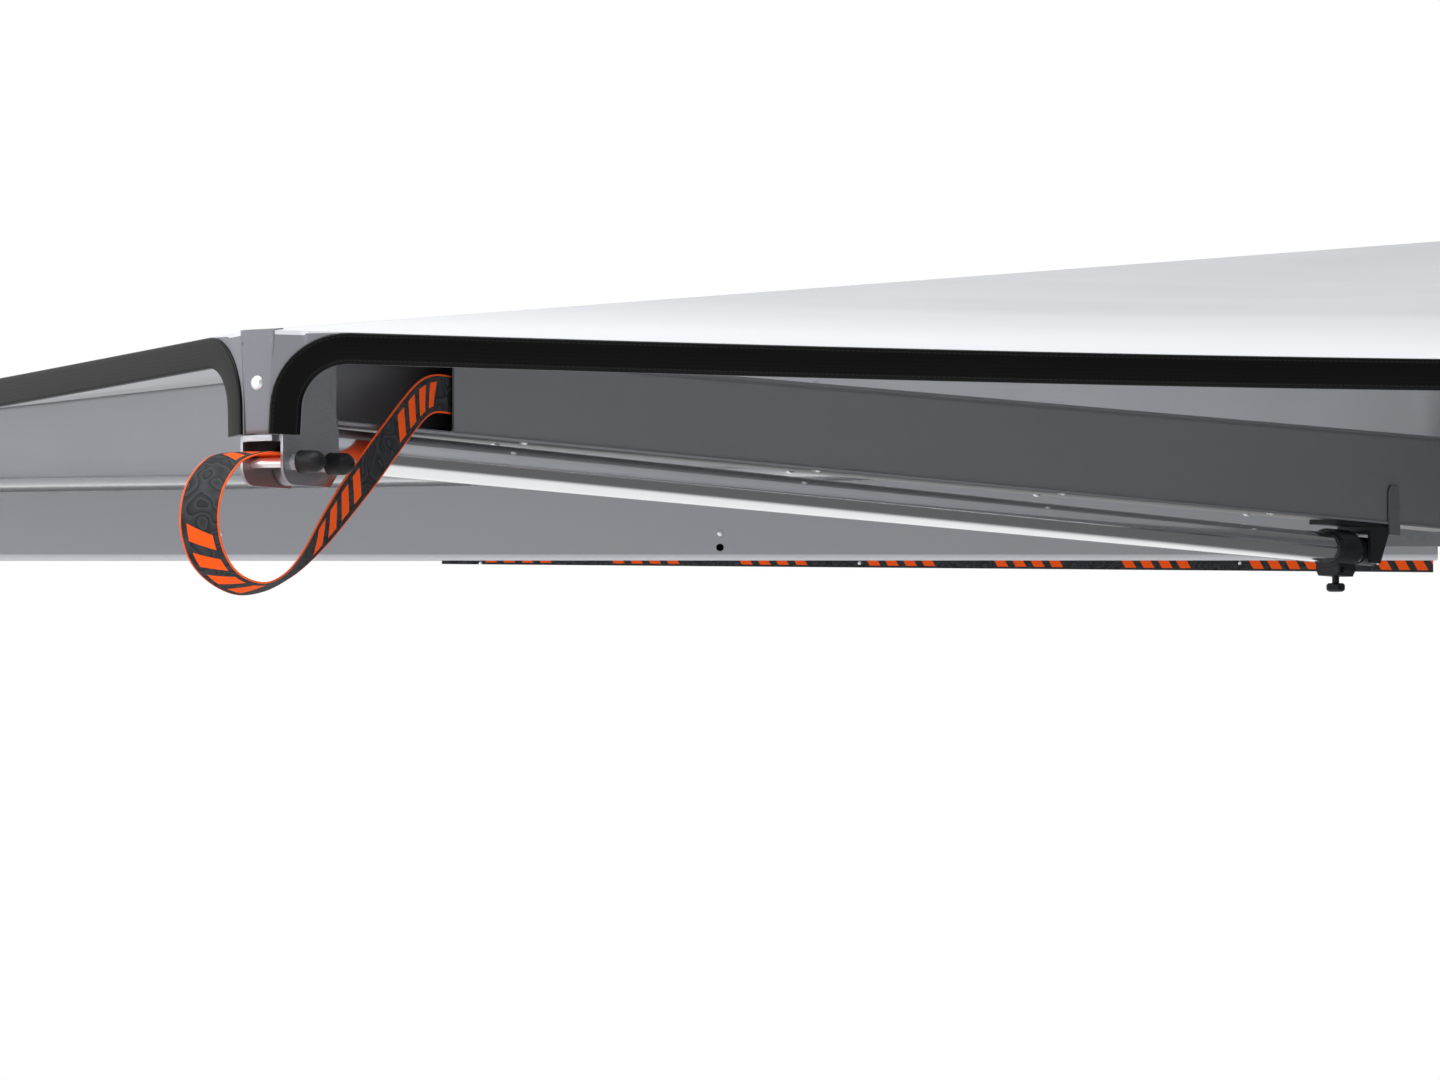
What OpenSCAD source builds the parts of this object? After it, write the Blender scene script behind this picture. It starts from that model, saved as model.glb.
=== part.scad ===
// Swing-out fan awning: a fixed backbone, three swinging arms on one post,
// a folding leg under each arm and a canopy pitched up to the post's crown.
// Millimetres. The origin is the middle of the mounting bolt line, on the
// backbone's back face. +X runs along the vehicle, +Y into it, +Z up.
// Each member has its own frame: x outwards from the post's axis, y across
// the member towards the side that opens, z up from the arms' underside.

/* [Fan] */
// Reach of an arm, from the post's axis to its tip
arm_reach = 2512; // [2400:2:2700]
// Angle between neighbouring arms when open
sector = 60; // [55:1:60]
// Distance between arm centres when folded
arm_pitch = 48; // [46:0.5:56]
// Height of the canopy's crown above the arms' underside
crown_height = 352; // [250:1:420]

/* [Arm beam] */
// Width of an arm beam
beam_w = 36; // [34:0.5:38]
// Height of a beam at the tip
beam_tip_h = 65; // [60:1:75]
// Height of a beam at the post
beam_root_h = 109; // [95:1:125]
// Wall of a beam
beam_wall = 2; // [1.5:0.1:3]
// Thickness of the lips along a beam's top and bottom
lip_t = 2.5; // [1.5:0.1:3.5]
// How far the lips stand out from the beam's side
lip_out = 1.5; // [0.5:0.1:2]
// Distance from the post's axis to where the beams start
beam_start = 70; // [66:1:90]
// Length of the open pocket in the beam's side
pocket_len = 174; // [120:1:200]
// Corner radius of the pocket
pocket_r = 4; // [2:0.5:8]
// Distance from the tip to the first rivets
rivet_first = 366; // [340:1:420]
// Distance between rivet stations
rivet_pitch = 512; // [460:1:540]
// Radius of a rivet head
rivet_r = 4; // [3:0.1:4.5]

/* [Backbone] */
// Width of the backbone
backbone_w = 40; // [38:0.5:44]
// Wall of the backbone
backbone_wall = 3; // [2:0.1:4]
// Depth of the backbone below the arms' underside
backbone_drop = 30; // [24:1:36]
// Top of the backbone above the arms' underside, at the tip
backbone_tip_top = 40; // [36:1:50]
// Top of the backbone above the arms' underside, at the post
backbone_root_top = 74; // [72:1:90]
// Rounding of the backbone's lower edges
backbone_r = 5; // [3:0.5:8]
// Outer diameter of the canopy rail on the backbone
rail_d = 18; // [14:0.5:20]

/* [Mount] */
// Distance between mounting bolts
mount_spacing = 600; // [500:10:640]
// Distance from the post's axis to the nearest bolt
mount_first = 315; // [260:5:360]
// Diameter of a mounting hole
mount_hole_d = 9; // [6.5:0.5:11]
// Distance of the bolt line below the arms' underside
mount_below = 15; // [10:1:18]

/* [Post and knuckles] */
// Diameter of the post
post_d = 24; // [20:0.5:26]
// Wall of a knuckle bush
bush_wall = 3; // [2:0.5:4]
// Radius of a knuckle's eye
eye_r = 24; // [21:0.5:26]
// Thickness of a knuckle plate
knuckle_t = 6; // [5:0.5:6.5]
// Thickness of the washer between two knuckles
washer_t = 1; // [0.5:0.1:1.5]
// Running clearance between a bush and the post
bush_fit = 0.05; // [0.02:0.01:0.1]
// Play above and below a washer between two knuckles
washer_fit = 0.05; // [0.02:0.01:0.1]

/* [Tip bracket] */
// Thickness of the bracket's sheet
bracket_t = 2.5; // [2:0.1:3]
// Length of the bracket's side plates
bracket_len = 78; // [74:1:90]
// Depth of the side plates below the beam
bracket_drop = 51; // [48:1:56]
// Radius of the plates' lower front corner
bracket_r = 15; // [8:1:18]
// Depth of both bolts below the beam
bolt_drop = 33; // [31:0.5:35]
// Distance from the tip to the strap's bolt
strap_bolt_in = 15; // [14:0.5:18]
// Distance from the tip to the leg's bolt
leg_bolt_in = 56; // [54:0.5:60]
// Diameter of the bolts
bolt_d = 8; // [6:0.5:9]
// Diameter of a rubber cap
cap_d = 18; // [16:0.5:20]
// Length of a rubber cap
cap_len = 22.5; // [18:0.5:24]

/* [Leg] */
// Outer diameter of the outer tube
leg_outer_d = 35; // [34:0.5:35]
// Wall of the outer tube
leg_outer_wall = 2.2; // [1.5:0.1:2.2]
// Outer diameter of the inner tube
leg_inner_d = 30; // [29:0.2:30]
// Wall of the inner tube
leg_inner_wall = 1.6; // [1.2:0.1:2.5]
// Height of the tube's axis above the leg's bolt
leg_offset = 14.5; // [13:0.25:15]
// Length of the inner tube
leg_inner_len = 1150; // [900:5:1400]
// How far the stowed leg slopes away from the beam
leg_slope = 0.36; // [0.3:0.01:0.4]

/* [Collar and clip] */
// Distance from the post's axis to the clip that holds the foot
clip_near = 348; // [330:1:440]
// Outer diameter of the leg's collar
collar_d = 44; // [42:0.5:45]
// Length of the collar
collar_len = 50; // [40:1:56]
// Diameter of the thumb screw's knob
knob_d = 21; // [16:0.5:26]
// Diameter of the rubber foot
foot_d = 32; // [31:0.5:32.5]
// Length of the rubber foot
foot_len = 48; // [40:1:60]
// Wall of the clip that holds the foot
clip_wall = 4; // [3:0.25:4.5]

/* [Canopy] */
// Height of the canopy above the arms' underside, at the tips
canopy_tip = 70; // [68:0.5:90]
// Height of the black edge band
band_h = 25; // [20:1:30]
// How far the tab hangs down over an arm's tip
tab_drop = 81.7; // [78:0.1:81.7]
// Half the width of the tab over an arm's tip
tab_half = 15; // [12:0.5:17]
// Inner radius of the band's bend at a tab
band_bend_r = 36; // [20:1:45]
// Sag of an open edge at its middle
edge_sag = 25; // [5:1:30]

/* [Straps] */
// Width of the webbing
strap_w = 32; // [25:1:34]
// Thickness of the webbing
strap_t = 1.6; // [1.2:0.1:2]

/* [Hidden] */
$fn = 48;

// Gap left between pieces that only meet
seat = 0.3;
// Fit of the bolt in the leg's eye
pivot_fit = 0.06;

// Member 0 is the backbone, members 1 to 3 are the arms
function member_angle(k) = 180 + sector * k;
function member_side(k) = arm_pitch * (k - 1.5);
mount_count = 4;
post_x = mount_first + mount_spacing * (mount_count - 1) / 2;
post_y = -backbone_w / 2 - arm_pitch * 1.5;

// The backbone starts clear of a foot that slides past the post
backbone_start = 54;
bracket_half = beam_w / 2 + bracket_t;
fold_r = 1.5;
bracket_back = arm_reach - bracket_len;
beam_end = arm_reach - bracket_t;
beam_slope = (beam_root_h - beam_tip_h) / (arm_reach - beam_start);
function beam_top(x) = beam_tip_h + (arm_reach - x) * beam_slope;
backbone_slope = (backbone_root_top - backbone_tip_top) / (arm_reach - beam_start);
function backbone_top(x) = backbone_tip_top + (arm_reach - x) * backbone_slope;

// The knuckles' levels: the backbone's plates outside, arm 3's inside
knuckle_step = knuckle_t + washer_t;
knuckle_base = 6;
knuckle_top = 64;
function low_level(k) = knuckle_base + k * knuckle_step;
function high_level(k) = knuckle_top - k * knuckle_step;

// The leg's own frame: its bolt is the origin, and it runs along -x
leg_bolt_x = arm_reach - leg_bolt_in;
strap_bolt_x = arm_reach - strap_bolt_in;
leg_start = 22;
collar_grip = 28;
foot_gap = 49;
foot_at = leg_bolt_x - clip_near;
leg_outer_len = foot_at - foot_gap;
collar_at = leg_outer_len - collar_grip;
lug_drop = 31;
knob_stem = 8;
knob_t = 9.5;
clip_len = 48;
clip_plate_t = 5;
clip_block = 12.5;
clip_depth = 46;
hanger_w = 29;

// The canopy falls evenly from the crown to the tips
canopy_front = arm_reach + 6;
canopy_slope = (crown_height - canopy_tip) / canopy_front;
canopy_t = 2;
canopy_inner_r = 16;
crown_r = 50;
// Steepest fall, from the crown to the sagging middle of an edge
canopy_fall = (crown_height - canopy_slope * canopy_inner_r - canopy_tip + edge_sag)
    / (canopy_front * cos(sector / 2) - arm_pitch - canopy_inner_r);

module member(k) {
    translate([post_x, post_y, mount_below])
        rotate([0, 0, member_angle(k)])
            translate([0, member_side(k), 0]) children();
}

module leg_frame(k) {
    member(k) translate([leg_bolt_x, 0, -bolt_drop]) rotate([0, -leg_slope, 0]) children();
}

// A flat outline in x and z, given its thickness across the member
module across(thick) {
    rotate([90, 0, 0]) linear_extrude(thick, center = true) children();
}

// A round bar across the member
module cross_bar(r, from, to) {
    translate([0, to, 0]) rotate([90, 0, 0]) cylinder(r = r, h = to - from);
}

// A round bar along -x
module long_bar(r, from, to) {
    translate([-from, 0, 0]) rotate([0, -90, 0]) cylinder(r = r, h = to - from);
}

module rounded_rect(x0, z0, x1, z1, r) {
    translate([x0 + r, z0]) square([x1 - x0 - 2 * r, z1 - z0]);
    translate([x0, z0 + r]) square([x1 - x0, z1 - z0 - 2 * r]);
    for (x = [x0 + r, x1 - r], z = [z0 + r, z1 - r]) translate([x, z]) circle(r, $fn = 24);
}

// A low dome on the plane z = 0
module dome(r, h) {
    rotate_extrude($fn = 24)
        polygon([[0, 0], [r, 0], for (a = [20 : 20 : 90]) [r * cos(a), h * sin(a)], [0, h]]);
}

// Beams

module beam_profile(x0, x1, low, high) {
    polygon([[x0, low], [x1, low], [x1, beam_top(x1) - high], [x0, beam_top(x0) - high]]);
}

module arm_beam(k) {
    lips_end = bracket_back - seat;
    pocket_start = bracket_back - pocket_len;
    pocket_top = beam_top(pocket_start + pocket_len) - lip_t - 3;
    groove_h = 3;
    groove_in = 0.8;
    color("dimgray") member(k) difference() {
        union() {
            across(beam_w) beam_profile(beam_start, beam_end, 0, 0);
            across(beam_w + 2 * lip_out) polygon([
                [beam_start, 0], [lips_end, 0], [lips_end, lip_t], [beam_start, lip_t]]);
            across(beam_w + 2 * lip_out) polygon([
                [beam_start, beam_top(beam_start) - lip_t], [lips_end, beam_top(lips_end) - lip_t],
                [lips_end, beam_top(lips_end)], [beam_start, beam_top(beam_start)]]);
        }
        across(beam_w - 2 * beam_wall)
            beam_profile(beam_start - 1, beam_end + 1, lip_t, lip_t);
        for (side = [-1, 1]) translate([0, side * beam_w / 2, 0]) across(2 * groove_in) polygon([
            [beam_start - 1, beam_top(beam_start) - lip_t - groove_h],
            [lips_end, beam_top(lips_end) - lip_t - groove_h],
            [lips_end, beam_top(lips_end) - lip_t],
            [beam_start - 1, beam_top(beam_start) - lip_t]]);
        translate([0, beam_w / 2, 0]) across(2 * beam_wall + 2)
            rounded_rect(pocket_start, lip_t + 1, bracket_back, pocket_top, pocket_r);
    }
}

module backbone_section(inset) {
    half = backbone_w / 2 - inset;
    low = -backbone_drop + inset;
    r = max(backbone_r - inset, 0.5);
    translate([low + r, -half]) square([200, 2 * half]);
    translate([low, -half + r]) square([200, 2 * half - 2 * r]);
    for (y = [-half + r, half - r]) translate([low + r, y]) circle(r, $fn = 24);
}

module backbone_body(x0, x1, inset) {
    low = -backbone_drop - 1;
    intersection() {
        translate([x0, 0, 0]) rotate([0, -90, 180]) linear_extrude(x1 - x0)
            backbone_section(inset);
        across(backbone_w) polygon([
            [x0, low], [x1, low],
            [x1, backbone_top(x1) - inset], [x0, backbone_top(x0) - inset]]);
    }
}

strap_slot_y = -8;
strap_slot_from = backbone_start + 8;
strap_slot_to = strap_slot_from + 1188;

module backbone_beam() {
    slot_w = strap_t + 2 * seat;
    color("gray") member(0) difference() {
        backbone_body(backbone_start, beam_end, 0);
        backbone_body(backbone_start - 1, beam_end + 1, backbone_wall);
        for (i = [0 : mount_count - 1])
            translate([mount_first + i * mount_spacing, 0, -mount_below])
                cross_bar(mount_hole_d / 2, -backbone_w, backbone_w);
        for (x = post_screws_x, z = post_screws_z) translate([x, backbone_w / 2, z])
            cross_bar(post_screw_r, -backbone_wall - 1, 1);
        translate([strap_slot_from - 2, strap_slot_y - slot_w / 2, -backbone_drop - 1])
            cube([strap_slot_to - strap_slot_from + 4, slot_w, backbone_wall + 2]);
    }
}

// The canopy rail: a slotted tube on the backbone's top
rail_from = backbone_start + 1;
rail_to = bracket_back - 4;

module backbone_rail() {
    slot_w = 3.4;
    foot_w = 8;
    tilt = atan(backbone_slope);
    length = (rail_to - rail_from) / cos(tilt);
    color("silver") member(0)
        translate([rail_from, 0, backbone_top(rail_from)]) rotate([0, tilt, 0])
            rotate([0, -90, 180]) linear_extrude(length) difference() {
                union() {
                    translate([rail_d / 2 + 1, 0]) circle(rail_d / 2, $fn = 40);
                    translate([0, -foot_w / 2]) square([rail_d / 2, foot_w]);
                }
                translate([rail_d / 2 + 1, 0]) circle(rail_d / 2 - 2, $fn = 32);
                translate([rail_d / 2 + 1, -slot_w / 2]) square([rail_d, slot_w]);
            }
}

module backbone_tip_bracket() {
    half = backbone_w / 2;
    head = canopy_tip - 4;
    front = arm_reach - fold_r;
    color("slategray") member(0) {
        for (side = [-1, 1]) translate([0, side * (half + bracket_t / 2), 0])
            across(bracket_t) polygon([
                [bracket_back, -backbone_drop], [front, -backbone_drop],
                [front, head], [arm_reach - 26, head],
                [bracket_back, backbone_top(bracket_back)]]);
        translate([beam_end, -half, -backbone_drop])
            cube([bracket_t, backbone_w, head + backbone_drop]);
        tab_lip();
    }
}

// The folded lip that holds a tab's lower edge
tab_bottom = canopy_tip - tab_drop;
tab_lip_h = 5;
module tab_lip() {
    translate([arm_reach - 0.01, -tab_half + 1, tab_bottom - seat - tab_lip_h])
        cube([canopy_front - arm_reach, 2 * tab_half - 2, tab_lip_h]);
}

module rivet_rows(x_list, y, low, top) {
    for (x = x_list, side = [-1, 1]) {
        translate([x, side * y, top(x)]) rotate([0, atan(beam_slope), 0]) dome(rivet_r, 2.4);
        translate([x, side * y, low]) mirror([0, 0, 1]) dome(rivet_r, 2.4);
    }
}

function rivet_stations() = [for (i = [0 : 3]) arm_reach - rivet_first - i * rivet_pitch];

module tab_screw() {
    translate([canopy_front + seat, 0, canopy_tip - 41]) rotate([0, 90, 0]) {
        dome(6, 3);
        translate([0, 0, arm_reach - canopy_front - seat])
            cylinder(r = 2, h = canopy_front - arm_reach + seat + 0.5);
    }
}

post_screws_x = [66, 81, 96, 111];
post_screws_z = [-4, 38];
post_screw_r = 3.4;

module backbone_fasteners() {
    color("gainsboro") member(0) {
        for (i = [0 : mount_count - 1])
            translate([mount_first + i * mount_spacing, backbone_w / 2, 2])
                rotate([-90, 0, 0]) dome(3.6, 2);
        for (x = post_screws_x, z = post_screws_z) translate([x, backbone_w / 2, z])
            cross_bar(post_screw_r, -backbone_wall - 4, post_plate_t);
        tab_screw();
    }
}

// Post, knuckles and crown

// Point where a line from e touches a circle round the origin
function touch(e, r, turn) =
    let (a = atan2(e[1], e[0]) + turn * acos(r / norm(e))) [r * cos(a), r * sin(a)];

module knuckle_outline(k, half) {
    near = [beam_start - 2, member_side(k) - half];
    far = [beam_start - 2, member_side(k) + half];
    waist = eye_r * 0.96;
    circle(eye_r);
    polygon([near, far, touch(far, waist, 1), [0, 0], touch(near, waist, -1)]);
}

// Two knuckle plates, an end plate on the beam and a plug inside the beam
module knuckle(k, half, low, high, wall, bore) {
    end_t = 5;
    plug_len = 45;
    plug_wall = 3;
    plug_low = low + wall + seat;
    plug_high = high - wall - plug_len * beam_slope - seat;
    inner = half - wall - seat;
    member(k) {
        translate([0, -member_side(k), 0])
            for (z = [low_level(k), high_level(k)]) translate([0, 0, z])
                linear_extrude(knuckle_t) difference() {
                    knuckle_outline(k, half);
                    circle(bore);
                }
        translate([beam_start - end_t, -half, low]) cube([end_t, 2 * half, high - low]);
        difference() {
            translate([beam_start - 1, -inner, plug_low])
                cube([plug_len + 1, 2 * inner, plug_high - plug_low]);
            translate([beam_start, -inner + plug_wall, plug_low + plug_wall])
                cube([plug_len + 1, 2 * (inner - plug_wall), plug_high - plug_low - 2 * plug_wall]);
        }
    }
}

// A plate on the backbone's face with two ears for the post, in the backbone's frame.
// It runs past the beam's end, above the feet that slide under it.
post_plate_t = 6;
post_plate_len = 130;
post_plate_from = -8;
post_plate_low = -14;
module backbone_knuckle() {
    face = backbone_w / 2;
    ear_len = beam_start - 12;
    post_side = -member_side(0);
    waist = eye_r * 0.96;
    back = face + post_plate_t / 2;
    function ear(turn, x) = let (p = [x, back - post_side])
        [p, touch(p, waist, turn)];
    right = ear(-1, post_plate_from);
    left = ear(1, ear_len);
    color("slategray") member(0) difference() {
        union() {
            translate([post_plate_from, face, post_plate_low])
                cube([post_plate_len, post_plate_t,
                    backbone_top(post_plate_len) - post_plate_low - 1]);
            for (z = [low_level(0), high_level(0)]) translate([0, post_side, z])
                linear_extrude(knuckle_t) {
                    circle(eye_r);
                    polygon([right[0], right[1], [0, 0], left[1], left[0]]);
                }
        }
        for (z = [low_level(0), high_level(0)]) translate([0, post_side, z - 1])
            cylinder(r = post_d / 2, h = knuckle_t + 2);
        for (x = post_screws_x, z = post_screws_z) translate([x, face, z])
            cross_bar(post_screw_r, -1, post_plate_t + 1);
    }
}

module arm_knuckle(k) {
    color("slategray") knuckle(k, beam_w / 2, 0, beam_root_h, lip_t + 0.5,
        post_d / 2 + bush_wall);
}

module arm_bushes(k) {
    color("goldenrod") translate([post_x, post_y, mount_below])
        for (z = [low_level(k), high_level(k)]) translate([0, 0, z]) difference() {
            cylinder(r = post_d / 2 + bush_wall, h = knuckle_t);
            translate([0, 0, -1]) cylinder(r = post_d / 2 + bush_fit, h = knuckle_t + 2);
        }
}

post_foot = knuckle_base - 12;
module post() {
    color("silver") translate([post_x, post_y, mount_below + post_foot])
        cylinder(r = post_d / 2, h = crown_height - post_foot);
}

module post_nuts() {
    nut_r = 19;
    bore = post_d / 2;
    color("gainsboro") translate([post_x, post_y, mount_below]) {
        translate([0, 0, knuckle_base - 10]) difference() {
            cylinder(r = nut_r, h = 10, $fn = 6);
            translate([0, 0, -1]) cylinder(r = bore, h = 12);
        }
        translate([0, 0, knuckle_top + knuckle_t]) difference() {
            cylinder(r = nut_r, h = 12);
            translate([0, 0, -1]) cylinder(r = bore, h = 14);
        }
    }
}

module knuckle_washers() {
    levels = [for (k = [0 : 2]) low_level(k) + knuckle_t, for (k = [0 : 2]) high_level(k) - washer_t];
    color("ivory") translate([post_x, post_y, mount_below])
        for (z = levels) translate([0, 0, z]) difference() {
            translate([0, 0, washer_fit])
                cylinder(r = eye_r - 2, h = washer_t - 2 * washer_fit);
            translate([0, 0, -1]) cylinder(r = post_d / 2, h = washer_t + 2);
        }
}

// Two rings that clamp the canopy's inner edge, and a cap over the post
module canopy_crown() {
    bore = post_d / 2;
    ring_t = 3.5;
    over = crown_height + seat;
    low = crown_height - canopy_slope * canopy_inner_r - canopy_t - seat;
    function under(r) = low - canopy_fall * (r - canopy_inner_r);
    color("dimgray") translate([post_x, post_y, mount_below]) rotate_extrude() {
        polygon([
            [bore, over - canopy_slope * bore], [crown_r, over - canopy_slope * crown_r],
            [crown_r, over - canopy_slope * crown_r + 1.5], [crown_r - 6, over + ring_t - 3],
            [bore + 6, over + ring_t + 1], [0, over + ring_t + 1], [0, crown_height],
            [bore, crown_height]]);
        polygon([
            [bore, under(bore) - 12], [bore + 4, under(bore) - 12],
            [bore + 8, under(crown_r) - ring_t], [crown_r, under(crown_r) - ring_t],
            [crown_r, under(crown_r)], [bore, under(bore)]]);
    }
}

// Tip bracket: two side plates joined by a front web, with a folded lip
module plate_outline() {
    low = -bracket_drop;
    back = bracket_back;
    head = beam_top(arm_reach);
    translate([arm_reach - bracket_r, low + bracket_r]) circle(bracket_r);
    polygon([
        [arm_reach - bracket_r, low], [back + 12, low], [back, low + 12], [back, -5],
        [back + 12, 20], [back + 12, beam_top(back + 12)], [arm_reach, head],
        [arm_reach, low + bracket_r]]);
}

module arm_tip_bracket(k) {
    color("slategray") member(k) {
        difference() {
            for (side = [-1, 1]) translate([0, side * (beam_w + bracket_t) / 2, 0])
                across(bracket_t) plate_outline();
            for (x = [leg_bolt_x, strap_bolt_x]) translate([x, 0, -bolt_drop])
                cross_bar(bolt_d / 2, -bracket_half - 1, bracket_half + 1);
        }
        translate([beam_end, -beam_w / 2, tab_bottom - seat - tab_lip_h])
            cube([bracket_t, beam_w, beam_top(arm_reach) - tab_bottom + tab_lip_h]);
        tab_lip();
    }
}

nut_t = 6.5;
head_t = 3.5;
module tip_bolt() {
    cross_bar(bolt_d / 2, -bracket_half - 1, bracket_half + nut_t + 9);
    translate([0, -bracket_half, 0]) rotate([90, 0, 0]) dome(bolt_d * 0.9, head_t);
    translate([0, bracket_half + nut_t, 0]) rotate([90, 0, 0])
        cylinder(r = bolt_d * 0.92, h = nut_t, $fn = 6);
}

module arm_fasteners(k) {
    color("gainsboro") member(k) {
        rivet_rows(rivet_stations(), beam_w / 2 - 4, 0, function(x) beam_top(x));
        for (x = [leg_bolt_x, strap_bolt_x]) translate([x, 0, -bolt_drop]) tip_bolt();
        tab_screw();
    }
}

module arm_bolt_caps(k) {
    r = cap_d / 2;
    straight = cap_len * 0.55;
    rise = cap_len - straight;
    color("black") member(k)
        for (x = [leg_bolt_x, strap_bolt_x])
            translate([x, bracket_half + nut_t, -bolt_drop]) rotate([-90, 0, 0])
                difference() {
                    rotate_extrude() polygon([
                        [0, 0], [r, 0], [r + 0.4, 1.5], [r, 3], [r - 0.2, straight],
                        for (a = [15 : 15 : 75])
                            [(r - 0.2) * cos(a), straight + rise * sin(a)],
                        [0, cap_len]]);
                    translate([0, 0, -1]) cylinder(r = bolt_d / 2, h = 10);
                }
}

// Folding leg

module leg_fitting(k) {
    half = beam_w / 2 - 0.5;
    plug_r = leg_outer_d / 2 - leg_outer_wall;
    color("silver") leg_frame(k) difference() {
        union() {
            across(2 * half) {
                circle(16);
                polygon([
                    [-leg_start, -3], [-8, -13.8], [8, 13.8], [0, 26], [-leg_start, 26]]);
            }
            translate([0, 0, leg_offset]) long_bar(plug_r, leg_start - 4, leg_start + 60);
        }
        cross_bar(bolt_d / 2 + pivot_fit, -half - 1, half + 1);
    }
}

module leg_outer_tube(k) {
    r = leg_outer_d / 2;
    color("silver") leg_frame(k) translate([0, 0, leg_offset]) difference() {
        long_bar(r, leg_start, leg_outer_len);
        long_bar(r - leg_outer_wall, leg_start - 1, leg_outer_len + 1);
    }
}

// Clamp collar with a lug below for its thumb screw
module leg_collar(k) {
    lug_half = 14;
    lug_in = 4;
    stem_r = 4 + seat;
    color("black") leg_frame(k) translate([0, 0, leg_offset]) difference() {
        union() {
            long_bar(collar_d / 2, collar_at, collar_at + collar_len);
            translate([-collar_at - collar_len / 2, 0, 0]) rotate([90, 0, 90])
                linear_extrude(collar_len - 4, center = true) polygon([
                    [-lug_half, -leg_outer_d / 2 + lug_in], [-lug_half, -lug_drop + 6],
                    [-lug_half + 3, -lug_drop], [lug_half - 3, -lug_drop],
                    [lug_half, -lug_drop + 6], [lug_half, -leg_outer_d / 2 + lug_in]]);
        }
        long_bar(leg_outer_d / 2, collar_at - 1, leg_outer_len);
        long_bar(leg_inner_d / 2 + seat, leg_outer_len - 1, collar_at + collar_len + 1);
        translate([-collar_at - collar_len / 2, 0, -lug_drop - 1])
            cylinder(r = stem_r, h = lug_drop - leg_outer_d / 2 + 2);
        translate([-collar_at - 12, 0, -lug_drop + 7]) cube([9, 4 * lug_half, 7], center = true);
    }
}

module leg_thumb_screw(k) {
    r = knob_d / 2;
    flutes = 6;
    color("black") leg_frame(k)
        translate([-collar_at - collar_len / 2, 0, leg_offset - lug_drop - knob_stem - knob_t]) {
            difference() {
                rotate_extrude() polygon([
                    [0, 0], [r - 3, 0], [r - 0.8, 1.2], [r, 3], [r, knob_t - 2],
                    [r - 2, knob_t], [0, knob_t]]);
                for (i = [0 : flutes - 1]) rotate([0, 0, i * 360 / flutes])
                    translate([r + 1.6, 0, -1]) cylinder(r = 3, h = knob_t + 2, $fn = 24);
            }
            translate([0, 0, knob_t - 0.01])
                cylinder(r = 4, h = knob_stem + lug_drop - leg_outer_d / 2 - 1);
        }
}

module leg_inner_tube(k) {
    r = leg_inner_d / 2;
    color("lightgray") leg_frame(k) translate([0, 0, leg_offset]) difference() {
        long_bar(r, foot_at - leg_inner_len, foot_at);
        long_bar(r - leg_inner_wall, foot_at - leg_inner_len - 1, foot_at + 1);
    }
}

module leg_foot(k) {
    r = foot_d / 2;
    color("black") leg_frame(k) translate([-foot_at, 0, leg_offset]) rotate([0, -90, 0])
        rotate_extrude() polygon([
            [0, 0], [r, 0], [r, foot_len - 3], [r - 1, foot_len - 0.8],
            [r - 3, foot_len], [r - 8, foot_len - 2], [0, foot_len - 2]]);
}

// Clip: a plate under the beam and two walls beside the foot
module arm_clip(k) {
    inner = foot_d / 2 + 0.6;
    outer = inner + clip_wall;
    x0 = clip_near - clip_len;
    color("black") member(k) {
        translate([x0 - 22, -beam_w / 2 + 1, -clip_plate_t])
            cube([clip_len + 108, beam_w - 2, clip_plate_t]);
        difference() {
            across(2 * outer) polygon([
                [x0 - 4, 0], [clip_near, 0], [clip_near - 2, -clip_depth],
                [clip_near - 28, -clip_depth], [x0 - 4, -clip_block]]);
            translate([x0 - 10, -inner, -clip_depth - 1])
                cube([clip_len + 20, 2 * inner, clip_depth + 1 - clip_block]);
            translate([x0 - 10, beam_w / 2 - 1, -clip_plate_t]) cube([clip_len + 20, 10, 10]);
            translate([x0 - 10, -beam_w / 2 - 9, -clip_plate_t]) cube([clip_len + 20, 10, 10]);
        }
    }
}

// Plate on the beam's side that carries the clip, with a scalloped edge
module arm_clip_hanger(k) {
    x0 = clip_near - clip_len - hanger_w - 6;
    scallops = 3;
    low = -clip_block;
    high = 44;
    color("gray") member(k) difference() {
        union() {
            translate([0, beam_w / 2 + lip_out + bracket_t / 2, 0]) across(bracket_t)
                polygon([[x0, low], [x0 + hanger_w, low], [x0 + hanger_w, high - 6],
                    [x0 + hanger_w - 6, high], [x0, high]]);
            translate([x0 + 5, beam_w / 2, lip_t + seat])
                cube([hanger_w - 10, lip_out + 0.5, high - 12]);
        }
        for (i = [0 : scallops - 1])
            translate([x0, beam_w / 2 + lip_out + 1, 8 + i * 13])
                cross_bar(4.5, -1 - bracket_t, bracket_t + 1);
    }
}

// Soft pieces. A solid sheet is built from rows of front points and the
// same rows of back points, joined round the border.

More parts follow.
